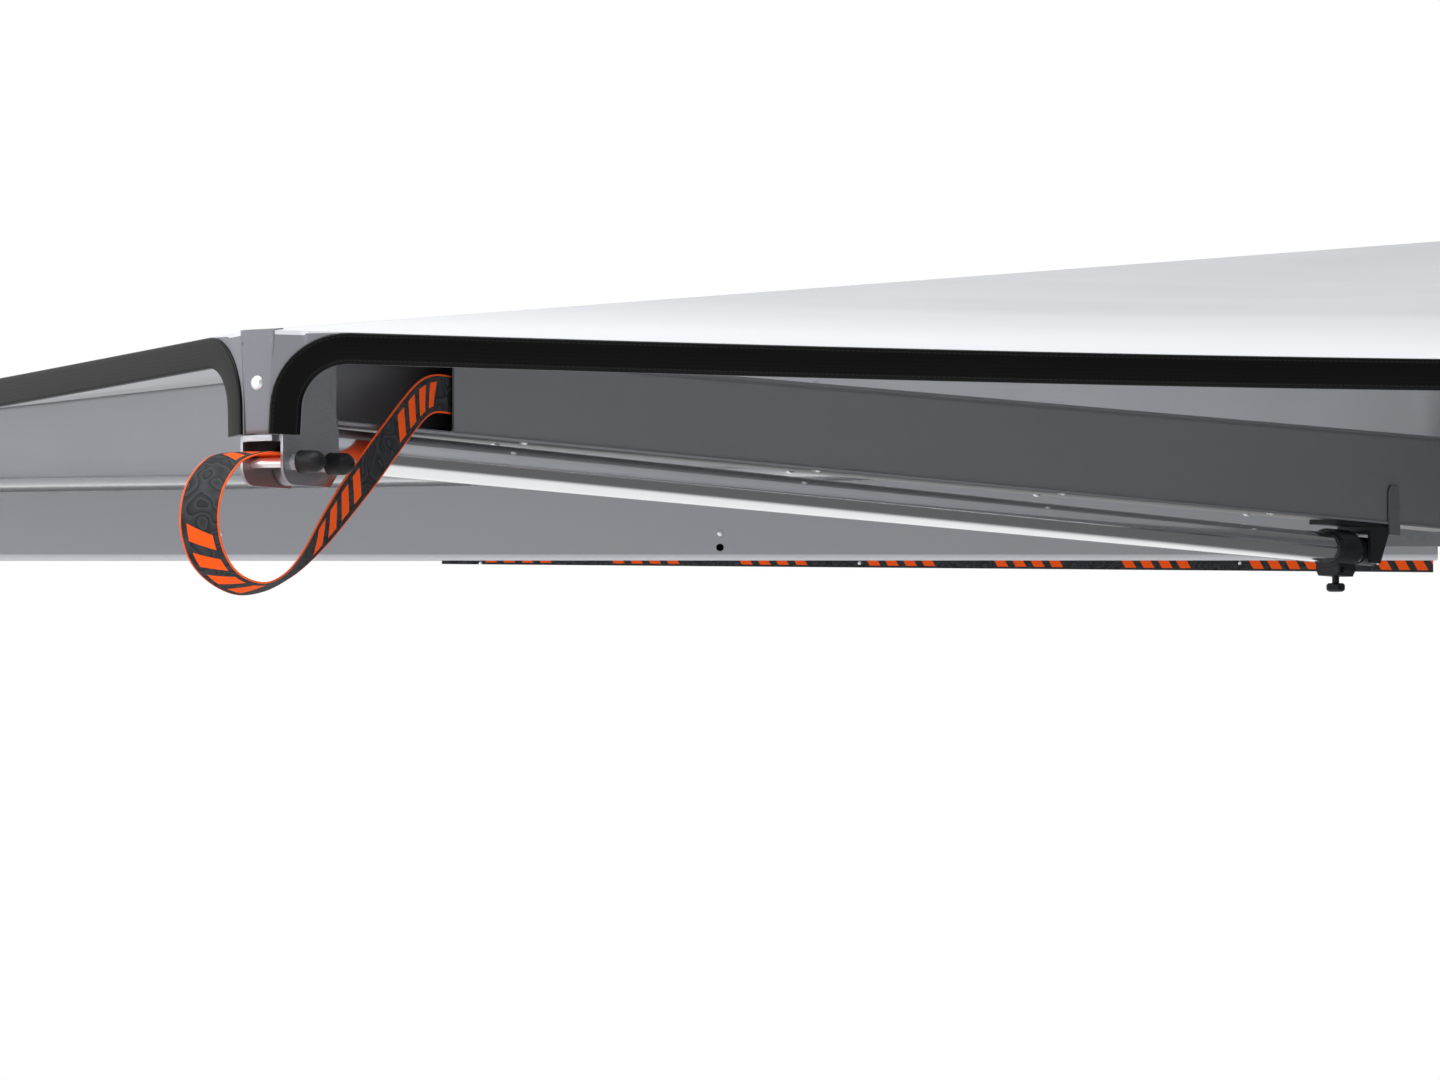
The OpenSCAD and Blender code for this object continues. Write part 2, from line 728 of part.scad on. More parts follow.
function grid_faces(rows, cols) = let (n = rows * cols) concat(
    [for (i = [0 : rows - 2], j = [0 : cols - 2], t = [0, 1])
        let (a = i * cols + j, b = a + 1, c = a + cols, d = c + 1) t == 0 ? [a, b, d] : [a, d, c]],
    [for (i = [0 : rows - 2], j = [0 : cols - 2], t = [0, 1])
        let (a = n + i * cols + j, b = a + 1, c = a + cols, d = c + 1)
            t == 0 ? [a, d, b] : [a, c, d]],
    [for (j = [0 : cols - 2], t = [0, 1])
        let (a = j, b = j + 1) t == 0 ? [a, n + a, n + b] : [a, n + b, b]],
    [for (j = [0 : cols - 2], t = [0, 1])
        let (a = (rows - 1) * cols + j, b = a + 1) t == 0 ? [a, b, n + b] : [a, n + b, n + a]],
    [for (i = [0 : rows - 2], t = [0, 1])
        let (a = i * cols, b = a + cols) t == 0 ? [a, b, n + b] : [a, n + b, n + a]],
    [for (i = [0 : rows - 2], t = [0, 1])
        let (a = i * cols + cols - 1, b = a + cols) t == 0 ? [a, n + a, n + b] : [a, n + b, b]]);

module sheet_solid(front, back) {
    rows = len(front);
    cols = len(front[0]);
    polyhedron(
        [for (r = front, p = r) p, for (r = back, p = r) p],
        grid_faces(rows, cols), convexity = 6);
}

function in_fan(k, p) = let (a = member_angle(k), x = p[0], y = p[1] + member_side(k)) [
    post_x + x * cos(a) - y * sin(a), post_y + x * sin(a) + y * cos(a), mount_below + p[2]];

// How deep the edge hangs at a distance c from a tab
function edge_depth(c) =
    c <= band_h ? tab_drop :
    c < band_h + band_bend_r ?
        band_h + band_bend_r - sqrt(pow(band_bend_r, 2) - pow(band_h + band_bend_r - c, 2)) :
    band_h;

tab_steps = [band_h, band_h + 0.5, band_h + 4, band_h + 12, band_h + 24, band_h + band_bend_r];
open_steps = 8;
screw_gap = 3.4;

// The canopy's outer edge between members k - 1 and k: [point, depth, tab]
function canopy_edge(k) =
    let (
        p = in_fan(k - 1, [canopy_front, tab_half, canopy_tip]),
        q = in_fan(k, [canopy_front, -tab_half, canopy_tip]),
        span = norm(q - p),
        along = (q - p) / span,
        last = tab_steps[len(tab_steps) - 1],
        run = concat(
            [0], tab_steps,
            [for (i = [1 : open_steps - 1]) last + (span - 2 * last) * i / open_steps],
            [for (i = [len(tab_steps) - 1 : -1 : 0]) span - tab_steps[i]], [span]))
    concat(
        [[in_fan(k - 1, [canopy_front, screw_gap, canopy_tip]), tab_drop]],
        [for (c = run) let (s = c / span) [
            p + along * c - [0, 0, edge_sag * sin(180 * s)], edge_depth(min(c, span - c))]],
        [[in_fan(k, [canopy_front, -screw_gap, canopy_tip]), tab_drop]]);

canopy_rows = [0, 0.12, 0.3, 0.5, 0.7, 0.86];

module canopy(k) {
    edge = canopy_edge(k);
    n = len(edge);
    hub = [post_x, post_y, mount_below];
    mid_angle = member_angle(k) - sector / 2;
    out = [cos(mid_angle), sin(mid_angle), 0];
    // Roof points run straight from the crown to the edge
    function ring(p) = let (d = [p[0] - hub[0], p[1] - hub[1], 0])
        hub + d * canopy_inner_r / norm(d) + [0, 0, crown_height - canopy_slope * canopy_inner_r];
    roof = [for (t = canopy_rows) [for (e = edge) ring(e[0]) * (1 - t) + e[0] * t]];
    drop = [for (s = [0, 1]) [for (e = edge) e[0] - [0, 0, s * e[1]]]];
    front = concat(roof, drop);
    inset = -out * canopy_t;
    back = [for (i = [0 : len(front) - 1]) [for (p = front[i])
        p + (i < len(roof) ? [0, 0, -canopy_t] :
            i == len(roof) ? inset + [0, 0, -canopy_t] : inset)]];
    color("whitesmoke") sheet_solid(front, back);
}

// Sheet between the rail and the canopy's edge over the backbone
wall_from = rail_from + 2;
wall_to = rail_to - 5;
module rear_wall() {
    cols = 9;
    lean = arm_pitch * 1.5;
    rail_head = rail_d + 1;
    function in_slot(x) = [x, 0, backbone_top(x) + rail_head - 3];
    function low_point(x) = in_slot(x) + [0, 0, 4];
    function high_point(x) = [x, lean * (1 - x / canopy_front),
        crown_height - canopy_slope * x - canopy_t - 3];
    xs = [for (i = [0 : cols - 1]) wall_from + (wall_to - wall_from) * i / (cols - 1)];
    rows = [0, 0.35, 0.7, 1];
    function grid(y) = concat(
        [[for (x = xs) in_fan(0, in_slot(x) + [0, y, 0])]],
        [for (t = rows) [for (x = xs)
            in_fan(0, low_point(x) * (1 - t) + high_point(x) * t + [0, y, 0])]]);
    color("lightgray") sheet_solid(grid(canopy_t / 2), grid(-canopy_t / 2));
}

// Webbing: [distance back from the tip, y, z, twist], where twist turns the width from y
arm_strap_route = [
    [20.5, 0, -36, 0], [20, 0, -29, 0], [15, 0, -26.5, 0], [2, 0, -26, 0], [-18, -1, -27, -2],
    [-48, -2, -34, -8], [-72, -3, -55, -16], [-80, -3, -82, -20], [-72, -2, -108, -14],
    [-52, 1, -126, -8], [-26, 8, -134, -16], [-2, 16, -128, -32], [20, 23, -112, -52],
    [46, 27, -88, -72], [76, 28, -62, -84], [112, 27, -34, -90], [146, 25.5, -8, -90],
    [176, 23, 13, -90], [204, 19, 28, -90], [232, 13.5, 34, -90], [262, 12, 34, -90]];

function unit(v) = v / norm(v);

// Smooth point between route points b and c, with neighbours a and d
function spline(a, b, c, d, t) =
    0.5 * (2 * b + (c - a) * t + (2 * a - 5 * b + 4 * c - d) * t * t
        + (3 * b - a - 3 * c + d) * t * t * t);

function smooth(route, parts) = let (n = len(route)) concat(
    [for (i = [0 : n - 2], j = [0 : parts - 1]) spline(
        route[max(i - 1, 0)], route[i], route[i + 1], route[min(i + 2, n - 1)], j / parts)],
    [route[n - 1]]);

// Corners of the webbing's section at each point of a smoothed route
function webbing_rings(route) = let (n = len(route)) [for (i = [0 : n - 1])
    let (
        p = [arm_reach - route[i][0], route[i][1], route[i][2]],
        a = route[max(i - 1, 0)], b = route[min(i + 1, n - 1)],
        t = unit([a[0] - b[0], b[1] - a[1], b[2] - a[2]]),
        y = unit([0, 1, 0] - t * t[1]),
        z = cross(t, y),
        w = (y * cos(route[i][3]) + z * sin(route[i][3])) * strap_w / 2,
        h = cross(t, unit(w)) * strap_t / 2)
    [p + w + h, p - w + h, p - w - h, p + w - h]];

module webbing(route) {
    rings = webbing_rings(route);
    n = len(rings);
    polyhedron([for (r = rings, p = r) p], concat(
        [[3, 2, 1], [3, 1, 0]],
        [for (i = [0 : n - 2], s = [0 : 3], t = [0, 1])
            let (a = i * 4 + s, b = i * 4 + (s + 1) % 4) t == 0 ? [a, b, b + 4] : [a, b + 4, a + 4]],
        [[n * 4 - 4, n * 4 - 3, n * 4 - 2], [n * 4 - 4, n * 4 - 2, n * 4 - 1]]), convexity = 6);
}

module arm_strap(k) {
    color("orangered") member(k) webbing(smooth(arm_strap_route, 2));
}

// Webbing kept in the slot under the backbone, showing more towards the post
module backbone_strap() {
    near = -backbone_drop - 14;
    far = -backbone_drop - 4;
    color("orangered") member(0) translate([0, strap_slot_y, 0]) across(strap_t) polygon([
        [strap_slot_from, near], [strap_slot_to, far],
        [strap_slot_to, far + strap_w], [strap_slot_from, near + strap_w]]);
}

backbone_beam();
backbone_rail();
backbone_knuckle();
backbone_tip_bracket();
backbone_fasteners();
backbone_strap();
post();
post_nuts();
knuckle_washers();
canopy_crown();
rear_wall();
canopy(1);  // canopy_1
canopy(2);  // canopy_2
canopy(3);  // canopy_3
arm_beam(1);  // arm_1_beam
arm_knuckle(1);  // arm_1_knuckle
arm_bushes(1);  // arm_1_bushes
arm_tip_bracket(1);  // arm_1_tip_bracket
arm_fasteners(1);  // arm_1_fasteners
arm_bolt_caps(1);  // arm_1_bolt_caps
arm_clip(1);  // arm_1_clip
arm_clip_hanger(1);  // arm_1_clip_hanger
arm_strap(1);  // arm_1_strap
leg_fitting(1);  // leg_1_fitting
leg_outer_tube(1);  // leg_1_outer_tube
leg_collar(1);  // leg_1_collar
leg_thumb_screw(1);  // leg_1_thumb_screw
leg_inner_tube(1);  // leg_1_inner_tube
leg_foot(1);  // leg_1_foot
arm_beam(2);  // arm_2_beam
arm_knuckle(2);  // arm_2_knuckle
arm_bushes(2);  // arm_2_bushes
arm_tip_bracket(2);  // arm_2_tip_bracket
arm_fasteners(2);  // arm_2_fasteners
arm_bolt_caps(2);  // arm_2_bolt_caps
arm_clip(2);  // arm_2_clip
arm_clip_hanger(2);  // arm_2_clip_hanger
arm_strap(2);  // arm_2_strap
leg_fitting(2);  // leg_2_fitting
leg_outer_tube(2);  // leg_2_outer_tube
leg_collar(2);  // leg_2_collar
leg_thumb_screw(2);  // leg_2_thumb_screw
leg_inner_tube(2);  // leg_2_inner_tube
leg_foot(2);  // leg_2_foot
arm_beam(3);  // arm_3_beam
arm_knuckle(3);  // arm_3_knuckle
arm_bushes(3);  // arm_3_bushes
arm_tip_bracket(3);  // arm_3_tip_bracket
arm_fasteners(3);  // arm_3_fasteners
arm_bolt_caps(3);  // arm_3_bolt_caps
arm_clip(3);  // arm_3_clip
arm_clip_hanger(3);  // arm_3_clip_hanger
arm_strap(3);  // arm_3_strap
leg_fitting(3);  // leg_3_fitting
leg_outer_tube(3);  // leg_3_outer_tube
leg_collar(3);  // leg_3_collar
leg_thumb_screw(3);  // leg_3_thumb_screw
leg_inner_tube(3);  // leg_3_inner_tube
leg_foot(3);  // leg_3_foot
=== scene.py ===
"""Dresses the swing-out fan awning: its canopy, webbing, finishes and a plain studio.

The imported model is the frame. The canopy's panels, the rear wall and the straps are
numpy surfaces that stand for the CAD solids of the same places, and every rigid piece
gets the finish of its real material.
"""
import math

import bpy
import numpy as np
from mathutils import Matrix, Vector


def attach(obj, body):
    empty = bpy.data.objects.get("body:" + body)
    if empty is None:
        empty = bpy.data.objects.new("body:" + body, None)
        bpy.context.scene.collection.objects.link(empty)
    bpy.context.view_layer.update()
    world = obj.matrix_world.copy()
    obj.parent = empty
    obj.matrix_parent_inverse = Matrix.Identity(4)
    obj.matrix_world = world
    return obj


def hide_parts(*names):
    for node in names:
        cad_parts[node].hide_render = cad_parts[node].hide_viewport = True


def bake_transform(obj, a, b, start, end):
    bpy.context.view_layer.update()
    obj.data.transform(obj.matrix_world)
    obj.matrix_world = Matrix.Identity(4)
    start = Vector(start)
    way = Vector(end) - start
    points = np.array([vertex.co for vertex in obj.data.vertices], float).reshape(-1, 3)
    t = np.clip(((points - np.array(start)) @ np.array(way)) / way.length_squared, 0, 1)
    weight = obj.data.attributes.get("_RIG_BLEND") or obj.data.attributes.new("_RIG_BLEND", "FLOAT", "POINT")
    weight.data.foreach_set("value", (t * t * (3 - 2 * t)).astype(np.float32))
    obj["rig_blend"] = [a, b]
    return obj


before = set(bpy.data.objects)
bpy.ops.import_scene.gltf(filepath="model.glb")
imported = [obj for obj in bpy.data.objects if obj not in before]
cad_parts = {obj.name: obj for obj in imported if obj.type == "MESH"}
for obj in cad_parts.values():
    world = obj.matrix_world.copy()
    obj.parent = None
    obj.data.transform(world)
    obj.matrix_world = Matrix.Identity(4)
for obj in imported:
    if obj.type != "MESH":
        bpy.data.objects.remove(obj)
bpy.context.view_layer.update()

bl_info = {
    "name": "Fan awning",
    "version": (1, 0, 0),
    "blender": (4, 5, 0),
    "location": "3D View > Sidebar > Awning",
    "description": "Canopy, webbing, finishes and studio of a swing-out fan awning",
    "category": "Object",
}

MM = 0.001
UP = np.array([0.0, 0.0, 1.0])

ARMS = (1, 2, 3)
BODIES = ["backbone"] + [f"arm_{k}" for k in ARMS]

# The awning's plan as the CAD model has it, in metres and degrees. Member 0 is the backbone
# and members 1 to 3 the arms. Heights count from the arms' underside, at z = ARM_FLOOR.
POST = np.array([1.215, -0.092])
ARM_FLOOR = 0.015
SECTOR = 60.0
ARM_PITCH = 0.048
ARM_REACH = 2.512
BACKBONE_TIP_TOP = 0.040
BACKBONE_SLOPE = 0.034 / 2.442
RAIL_D = 0.018

# The canopy: how far out and how high its edge hangs, its crown, tabs and black edge
CANOPY_FRONT = 2.518
CANOPY_TIP = 0.070
CROWN_HEIGHT = 0.352
CROWN_R = 0.016
CANOPY_SLOPE = (CROWN_HEIGHT - CANOPY_TIP) / CANOPY_FRONT
TAB_HALF = 0.015
TAB_DROP = 0.0817
TAB_OVER = 0.012
TAB_TAPER = 0.0045
BAND = 0.025
BAND_OUTER_R = 0.060
BAND_OUT = 0.0012
# The panel beside the backbone is drawn tighter than the others
EDGE_SAG = (0.0085, 0.025, 0.025)
ROOF_DIP = 0.004
ROOF_FOLD = 0.0032
# Length of the roof on the cloth's UV map, from the crown to the edge
ROOF_RUN = 2.3
ROOF_ROWS = 44
EDGE_ROWS = 8

# The rear wall's ends along the backbone, how much further out its top begins by the post,
# and its height on the cloth's UV map
WALL_FROM = 0.045
WALL_TO = 2.425
WALL_LEAN = 0.009
WALL_RISE = 0.25

# The stow strap under the backbone: its ends, its place across, its lower edge by the post
# and how much higher that edge is at the other end. It shows 14 mm below the backbone by the
# post and 4 mm at the other end
STOW_FROM = 0.056
STOW_TO = 1.250
STOW_ACROSS = -0.008
STOW_LOW = -0.044
STOW_RISE = 0.010

# The rivets through it: shallow domes whose feet lie inside the webbing
RIVET_R = 0.0023
RIVET_HEIGHT = 0.0016
RIVET_FOOT = -0.0075
RIVET_Z = -0.0328
RIVETS_AT = (0.123, 0.289, 0.747, 1.2035)

# The loop at an arm's tip, from the front bolt round and into the pocket: x, y, z in
# millimetres and the turn of the strap's width from level, in degrees
LOOP_ROUTE = np.array([
    [2491.5, 0, -36, 0], [2492, 0, -29, 0], [2497, 0, -26.5, 0], [2510, 0, -26, 0],
    [2530, -1, -27, -2], [2560, -2, -34, -8], [2584, -3, -55, -16], [2592, -3, -82, -20],
    [2584, -2, -108, -14], [2564, 1, -126, -8], [2538, 8, -134, -16],
    [2514, 16, -128, -32], [2492, 23, -112, -52], [2466, 27, -88, -72],
    [2436, 28, -62, -84], [2400, 27, -34, -90], [2366, 25.5, -8, -90],
    [2336, 23, 13, -90], [2308, 19, 28, -90], [2280, 13.5, 34, -90],
    [2250, 12, 34, -90]], float)

# The picture: focal length and the horizon's distance under the middle, in its own pixels
FRAME_PX = 1440
FOCAL_PX = 5400
HORIZON_PX = 216
SENSOR_MM = 36.0
CAMERA_AT = (0.300, -6.512, -0.250)
FLOOR_Z = -2.2
FLOOR_HALF = 60.0


# Geometry

def member(k, x, y, z):
    """Points of member k's frame in the row frame: turned 180 + 60 k degrees about the post.

    x runs outwards, y across towards the side that opens, z up from the arms' underside."""
    a = math.radians(180 + SECTOR * k)
    x, y, z = np.broadcast_arrays(x, y, z)
    y = y + ARM_PITCH * (k - 1.5)
    return np.stack([POST[0] + x * math.cos(a) - y * math.sin(a),
                     POST[1] + x * math.sin(a) + y * math.cos(a), ARM_FLOOR + z], axis=-1)


def unit(v):
    """Each vector divided by its own length."""
    return v / np.maximum(np.linalg.norm(v, axis=-1, keepdims=True), 1e-12)


def surface(name, points, uv=None, around=False, caps=False, sharp=None):
    """A mesh from an m by n grid of points, with one quad between each four neighbours.

    around joins the last column to the first, and caps closes the first and last row with
    one face each. uv is a grid of the same shape, in metres, one column wider when around."""
    m, n = points.shape[:2]
    columns = n if around else n - 1
    i, j = np.meshgrid(np.arange(m - 1), np.arange(columns), indexing="ij")
    right = (j + 1) % n
    quads = np.stack([i * n + j, i * n + right, (i + 1) * n + right, (i + 1) * n + j], -1)
    faces = quads.reshape(-1, 4).tolist()
    if caps:
        faces += [np.arange(n)[::-1].tolist(), (np.arange(n) + (m - 1) * n).tolist()]
    mesh = bpy.data.meshes.new(name)
    mesh.from_pydata(points.reshape(-1, 3).tolist(), [], faces)
    if uv is not None:
        w = uv.shape[1]
        corner = np.stack([i * w + j, i * w + j + 1, (i + 1) * w + j + 1, (i + 1) * w + j], -1)
        flat = uv.reshape(-1, 2)[corner.reshape(-1)]
        if caps:
            flat = np.concatenate([flat, np.repeat(uv.reshape(-1, 2)[:1], 2 * n, axis=0)])
        mesh.uv_layers.new(name="Cloth").data.foreach_set("uv", flat.astype(np.float32).ravel())
    mesh.validate()
    mesh.shade_smooth()
    if sharp is not None:
        mesh.set_sharp_from_angle(angle=math.radians(sharp))
    piece = bpy.data.objects.new(name, mesh)
    bpy.context.scene.collection.objects.link(piece)
    return piece


def lengths(path):
    """Distance along a line of points, from its first point."""
    return np.concatenate([[0], np.cumsum(np.linalg.norm(np.diff(path, axis=0), axis=1))])


def strip(name, path, across, out, width, thick, sharp=35):
    """A flat strap: a rounded section, width by thick, carried along a path.

    The section is a superellipse: width/2 sgn(cos a) |cos a|^0.25 along across and
    thick/2 sgn(sin a) |sin a|^0.6 along out. u of its UV map is the distance along the
    path, and v runs round the section, 0 to width over the outer face."""
    sides = 24
    a = np.linspace(0, 2 * np.pi, sides, endpoint=False)
    wide = np.sign(np.cos(a)) * np.abs(np.cos(a)) ** 0.25 * width / 2
    deep = np.sign(np.sin(a)) * np.abs(np.sin(a)) ** 0.6 * thick / 2
    points = (path[:, None] + across[:, None] * wide[None, :, None]
              + out[:, None] * deep[None, :, None])
    u = np.broadcast_to(lengths(path)[:, None], (len(path), sides + 1))
    turn = np.append(wide, wide[0])
    back = np.append(deep, deep[0]) < -1e-9
    v = np.broadcast_to(np.where(back, 2 * width + turn, width / 2 - turn), u.shape)
    return surface(name, points, np.stack([u, v], -1), around=True, caps=True, sharp=sharp)


def smooth_line(route, parts):
    """A Catmull-Rom curve through the route's points, with parts steps between two of them."""
    p = np.concatenate([route[:1], route, route[-1:]])
    t = np.arange(parts)[:, None] / parts
    a, b, c, d = (p[i:len(p) - 3 + i][:, None] for i in range(4))
    curve = 0.5 * (2 * b + (c - a) * t + (2 * a - 5 * b + 4 * c - d) * t ** 2
                   + (3 * b - a - 3 * c + d) * t ** 3)
    return np.concatenate([curve.reshape(-1, route.shape[1]), route[-1:]])


# Canopy

def chord(k):
    """The canopy's edge between members k - 1 and k: its start, direction and length."""
    start = member(k - 1, CANOPY_FRONT, TAB_HALF, CANOPY_TIP)
    end = member(k, CANOPY_FRONT, -TAB_HALF, CANOPY_TIP)
    span = float(np.linalg.norm(end - start))
    return start, (end - start) / span, span


def valance(k, c, d):
    """Points on the upright edge panel: c along the chord from a tab, d below the edge.

    The edge sags by the panel's EDGE_SAG times sin(pi c / span), and beside a tab the panel
    narrows towards its foot as the tab does."""
    start, along, span = chord(k)
    near = np.minimum(c, span - c)
    draw = TAB_TAPER * d / TAB_DROP * np.clip(1 - near / BAND_OUTER_R, 0, 1)
    c = c + np.where(c < span / 2, -draw, draw)
    sag = EDGE_SAG[k - 1] * np.sin(np.pi * np.clip(c / span, 0, 1))
    return start + along * c[..., None] - UP * (sag + d)[..., None]


def edge_depth(near):
    """Depth of the edge panel at a distance from a tab: full, then round the bend, then BAND."""
    r = BAND_OUTER_R - BAND
    bend = BAND_OUTER_R - np.sqrt(np.maximum(r * r - (BAND_OUTER_R - near) ** 2, 0))
    return np.where(near <= BAND, TAB_DROP, np.where(near < BAND_OUTER_R, bend, BAND))


def roof(k, c, t):
    """Points on the roof: straight lines from the crown's ring (t = 0) to the edge (t = 1).

    With s = c / span they sink by EDGE_SAG t^2 sin(pi s), as the edge does, and by ROOF_DIP
    sin(pi t) sin(pi s). Shallow folds, ROOF_FOLD sin(17 s (1 + t / 2)) sin(pi s) 4 t (1 - t),
    run out from the crown and die away towards the edges."""
    start, along, span = chord(k)
    hub = np.array([POST[0], POST[1], 0.0])
    s = np.clip(c / span, 0, 1)
    edge = start + along * c[..., None]
    flat = (edge - hub) * [1, 1, 0]
    top = ARM_FLOOR + CROWN_HEIGHT - CANOPY_SLOPE * CROWN_R
    ring = hub + unit(flat) * CROWN_R + UP * top
    points = ring * (1 - t[..., None]) + edge * t[..., None]
    dip = np.sin(np.pi * s) * (EDGE_SAG[k - 1] * t ** 2 + ROOF_DIP * np.sin(np.pi * t))
    fold = ROOF_FOLD * np.sin(17 * s * (1 + 0.5 * t)) * np.sin(np.pi * s) * t * (1 - t) * 4
    return points - UP * (dip - fold)[..., None]


def panel(k):
    """One cloth panel: the roof's grid, then the edge panel's grid hung from its last row."""
    span = chord(k)[2]
    bend = np.linspace(BAND, BAND_OUTER_R, 14)
    left = np.concatenate([[-TAB_HALF * 0.98, 0.0], np.linspace(0.006, BAND, 4), [BAND + 1e-5],
                           bend[1:]])
    middle = np.linspace(BAND_OUTER_R, span - BAND_OUTER_R, 60)[1:-1]
    c = np.concatenate([left, middle, (span - left)[::-1]])
    # The roof's first and last columns lie on the ridges, over the tabs' middles
    rows = np.linspace(0, 1, ROOF_ROWS)
    top = roof(k, *np.broadcast_arrays(c[None, :], rows[:, None]))
    for column, arm, side in ((0, k - 1, 1), (-1, k, -1)):
        foot = member(arm, CANOPY_FRONT, side * 0.0002, CANOPY_TIP)
        head = top[0, column]
        top[:, column] = head * (1 - rows[:, None]) + foot * rows[:, None]
    share = np.linspace(0, 1, EDGE_ROWS + 1)[1:, None]
    depth = edge_depth(np.minimum(c, span - c))
    drop = valance(k, np.broadcast_to(np.clip(c, 0, span), (EDGE_ROWS, len(c))), share * depth)
    points = np.concatenate([top, drop])
    run = np.concatenate([rows * ROOF_RUN, ROOF_RUN + share[:, 0] * BAND])
    uv = np.stack(np.broadcast_arrays((c - span / 2)[None, :], run[:, None]), -1)
    # Only the roof reaches over the tabs, so the edge panel's outer columns close up there
    points[ROOF_ROWS:, 0] = points[ROOF_ROWS:, 1]
    points[ROOF_ROWS:, -1] = points[ROOF_ROWS:, -2]
    return points, uv


def bearing_share(k, piece):
    """Sets how far each point turns with the arm: its bearing between the two members.

    The share is the angle from member k - 1, measured at the post, over SECTOR, so the
    cloth gathers like a fan as the arm closes."""
    mesh = piece.data
    co = np.empty(len(mesh.vertices) * 3, np.float32)
    mesh.vertices.foreach_get("co", co)
    co = co.reshape(-1, 3)
    tips = [member(m, CANOPY_FRONT, 0.0, 0.0)[:2] - POST for m in (k - 1, k)]
    first, last = (math.atan2(t[1], t[0]) for t in tips)
    whole = (last - first) % (2 * math.pi)
    angle = np.arctan2(co[:, 1] - POST[1], co[:, 0] - POST[0]) - first
    angle = (angle + math.pi) % (2 * math.pi) - math.pi
    share = np.clip(angle / whole, 0, 1)
    mesh.attributes["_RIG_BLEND"].data.foreach_set("value", share.astype(np.float32))


def across_arm(k, piece):
    """Lets a canopy piece gather between member k - 1 and arm k."""
    ends = [tuple(member(m, CANOPY_FRONT, 0.0, CANOPY_TIP)) for m in (k - 1, k)]
    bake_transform(piece, BODIES[k - 1], BODIES[k], start=ends[0], end=ends[1])
    bearing_share(k, piece)


def band_path(k):
    """The middle of the black edge: up beside one tab, round, along the edge and down again."""
    span = chord(k)[2]
    middle = BAND_OUTER_R - BAND / 2
    down = np.linspace(TAB_DROP, BAND_OUTER_R, 6)[:-1]
    turn = np.linspace(0, np.pi / 2, 14)
    along = np.linspace(BAND_OUTER_R, span - BAND_OUTER_R, 70)[1:-1]
    half_c = np.concatenate([np.full(5, BAND / 2), BAND_OUTER_R - middle * np.cos(turn)])
    half_d = np.concatenate([down, BAND_OUTER_R - middle * np.sin(turn)])
    c = np.concatenate([half_c, along, (span - half_c)[::-1]])
    d = np.concatenate([half_d, np.full(len(along), BAND / 2), half_d[::-1]])
    return c, d


# Materials

def tint(code):
    """An sRGB hex colour as linear RGBA: c / 12.92, or ((c + 0.055) / 1.055)^2.4 above 0.04045."""
    c = [int(code[i:i + 2], 16) / 255 for i in (1, 3, 5)]
    return tuple(x / 12.92 if x <= 0.04045 else ((x + 0.055) / 1.055) ** 2.4 for x in c) + (1.0,)


def add(tree, kind, inputs=None, **settings):
    """Adds one node: its settings, then its inputs, each a value or a socket to link."""
    made = tree.nodes.new(kind)
    for key, value in settings.items():
        setattr(made, key, value)
    for key, value in (inputs or {}).items():
        socket = made.inputs[key]
        if isinstance(value, bpy.types.NodeSocket):
            tree.links.new(value, socket)
        else:
            socket.default_value = value
    return made


def waves_apart(spacing):
    """A wave texture's Scale for bands this far apart: its period is 2 pi / (20 Scale)."""
    return math.pi / (10 * spacing)


def finish(name, base, roughness, metallic=0.0, **sockets):
    """A material with one Principled shader; returns it with its tree and shader."""
    material = bpy.data.materials.new(name)
    material.use_nodes = True
    tree = material.node_tree
    tree.nodes.clear()
    shader = add(tree, "ShaderNodeBsdfPrincipled", {
        "Base Color": tint(base), "Roughness": roughness, "Metallic": metallic, **sockets})
    out = add(tree, "ShaderNodeOutputMaterial", {"Surface": shader.outputs[0]})
    out.name = "Out"
    material.diffuse_color = tint(base)
    return material, tree, shader


def mottle(tree, shader, base, other, rough, scale, share, height=0.0, stretch=(1, 1, 1)):
    """Breaks up a finish with noise in object space: a drift of colour, and a bump in metres.

    rough is the roughness's lowest and highest value, scale the noise's features a metre, and
    share how far the colour drifts from base to other."""
    place = add(tree, "ShaderNodeTexCoord").outputs["Object"]
    turn = add(tree, "ShaderNodeMapping", {"Vector": place, "Scale": stretch})
    noise = add(tree, "ShaderNodeTexNoise", {
        "Vector": turn.outputs[0], "Scale": scale, "Detail": 3.0, "Roughness": 0.55})
    blend = add(tree, "ShaderNodeMix", {
        "Factor": noise.outputs["Fac"], "A": tint(base), "B": tint(other)}, data_type="RGBA")
    spread = add(tree, "ShaderNodeMix", {
        "Factor": share, "A": tint(base), "B": blend.outputs["Result"]}, data_type="RGBA")
    tree.links.new(spread.outputs["Result"], shader.inputs["Base Color"])
    reach = add(tree, "ShaderNodeMapRange", {
        "Value": noise.outputs["Fac"], "From Min": 0.3, "From Max": 0.7,
        "To Min": rough[0], "To Max": rough[1]})
    tree.links.new(reach.outputs[0], shader.inputs["Roughness"])
    if height:
        eased = add(tree, "ShaderNodeBevel", {"Radius": 0.0006}, samples=4)
        bump = add(tree, "ShaderNodeBump", {
            "Height": noise.outputs["Fac"], "Distance": height, "Strength": 1.0,
            "Normal": eased.outputs[0]})
        tree.links.new(bump.outputs[0], shader.inputs["Normal"])


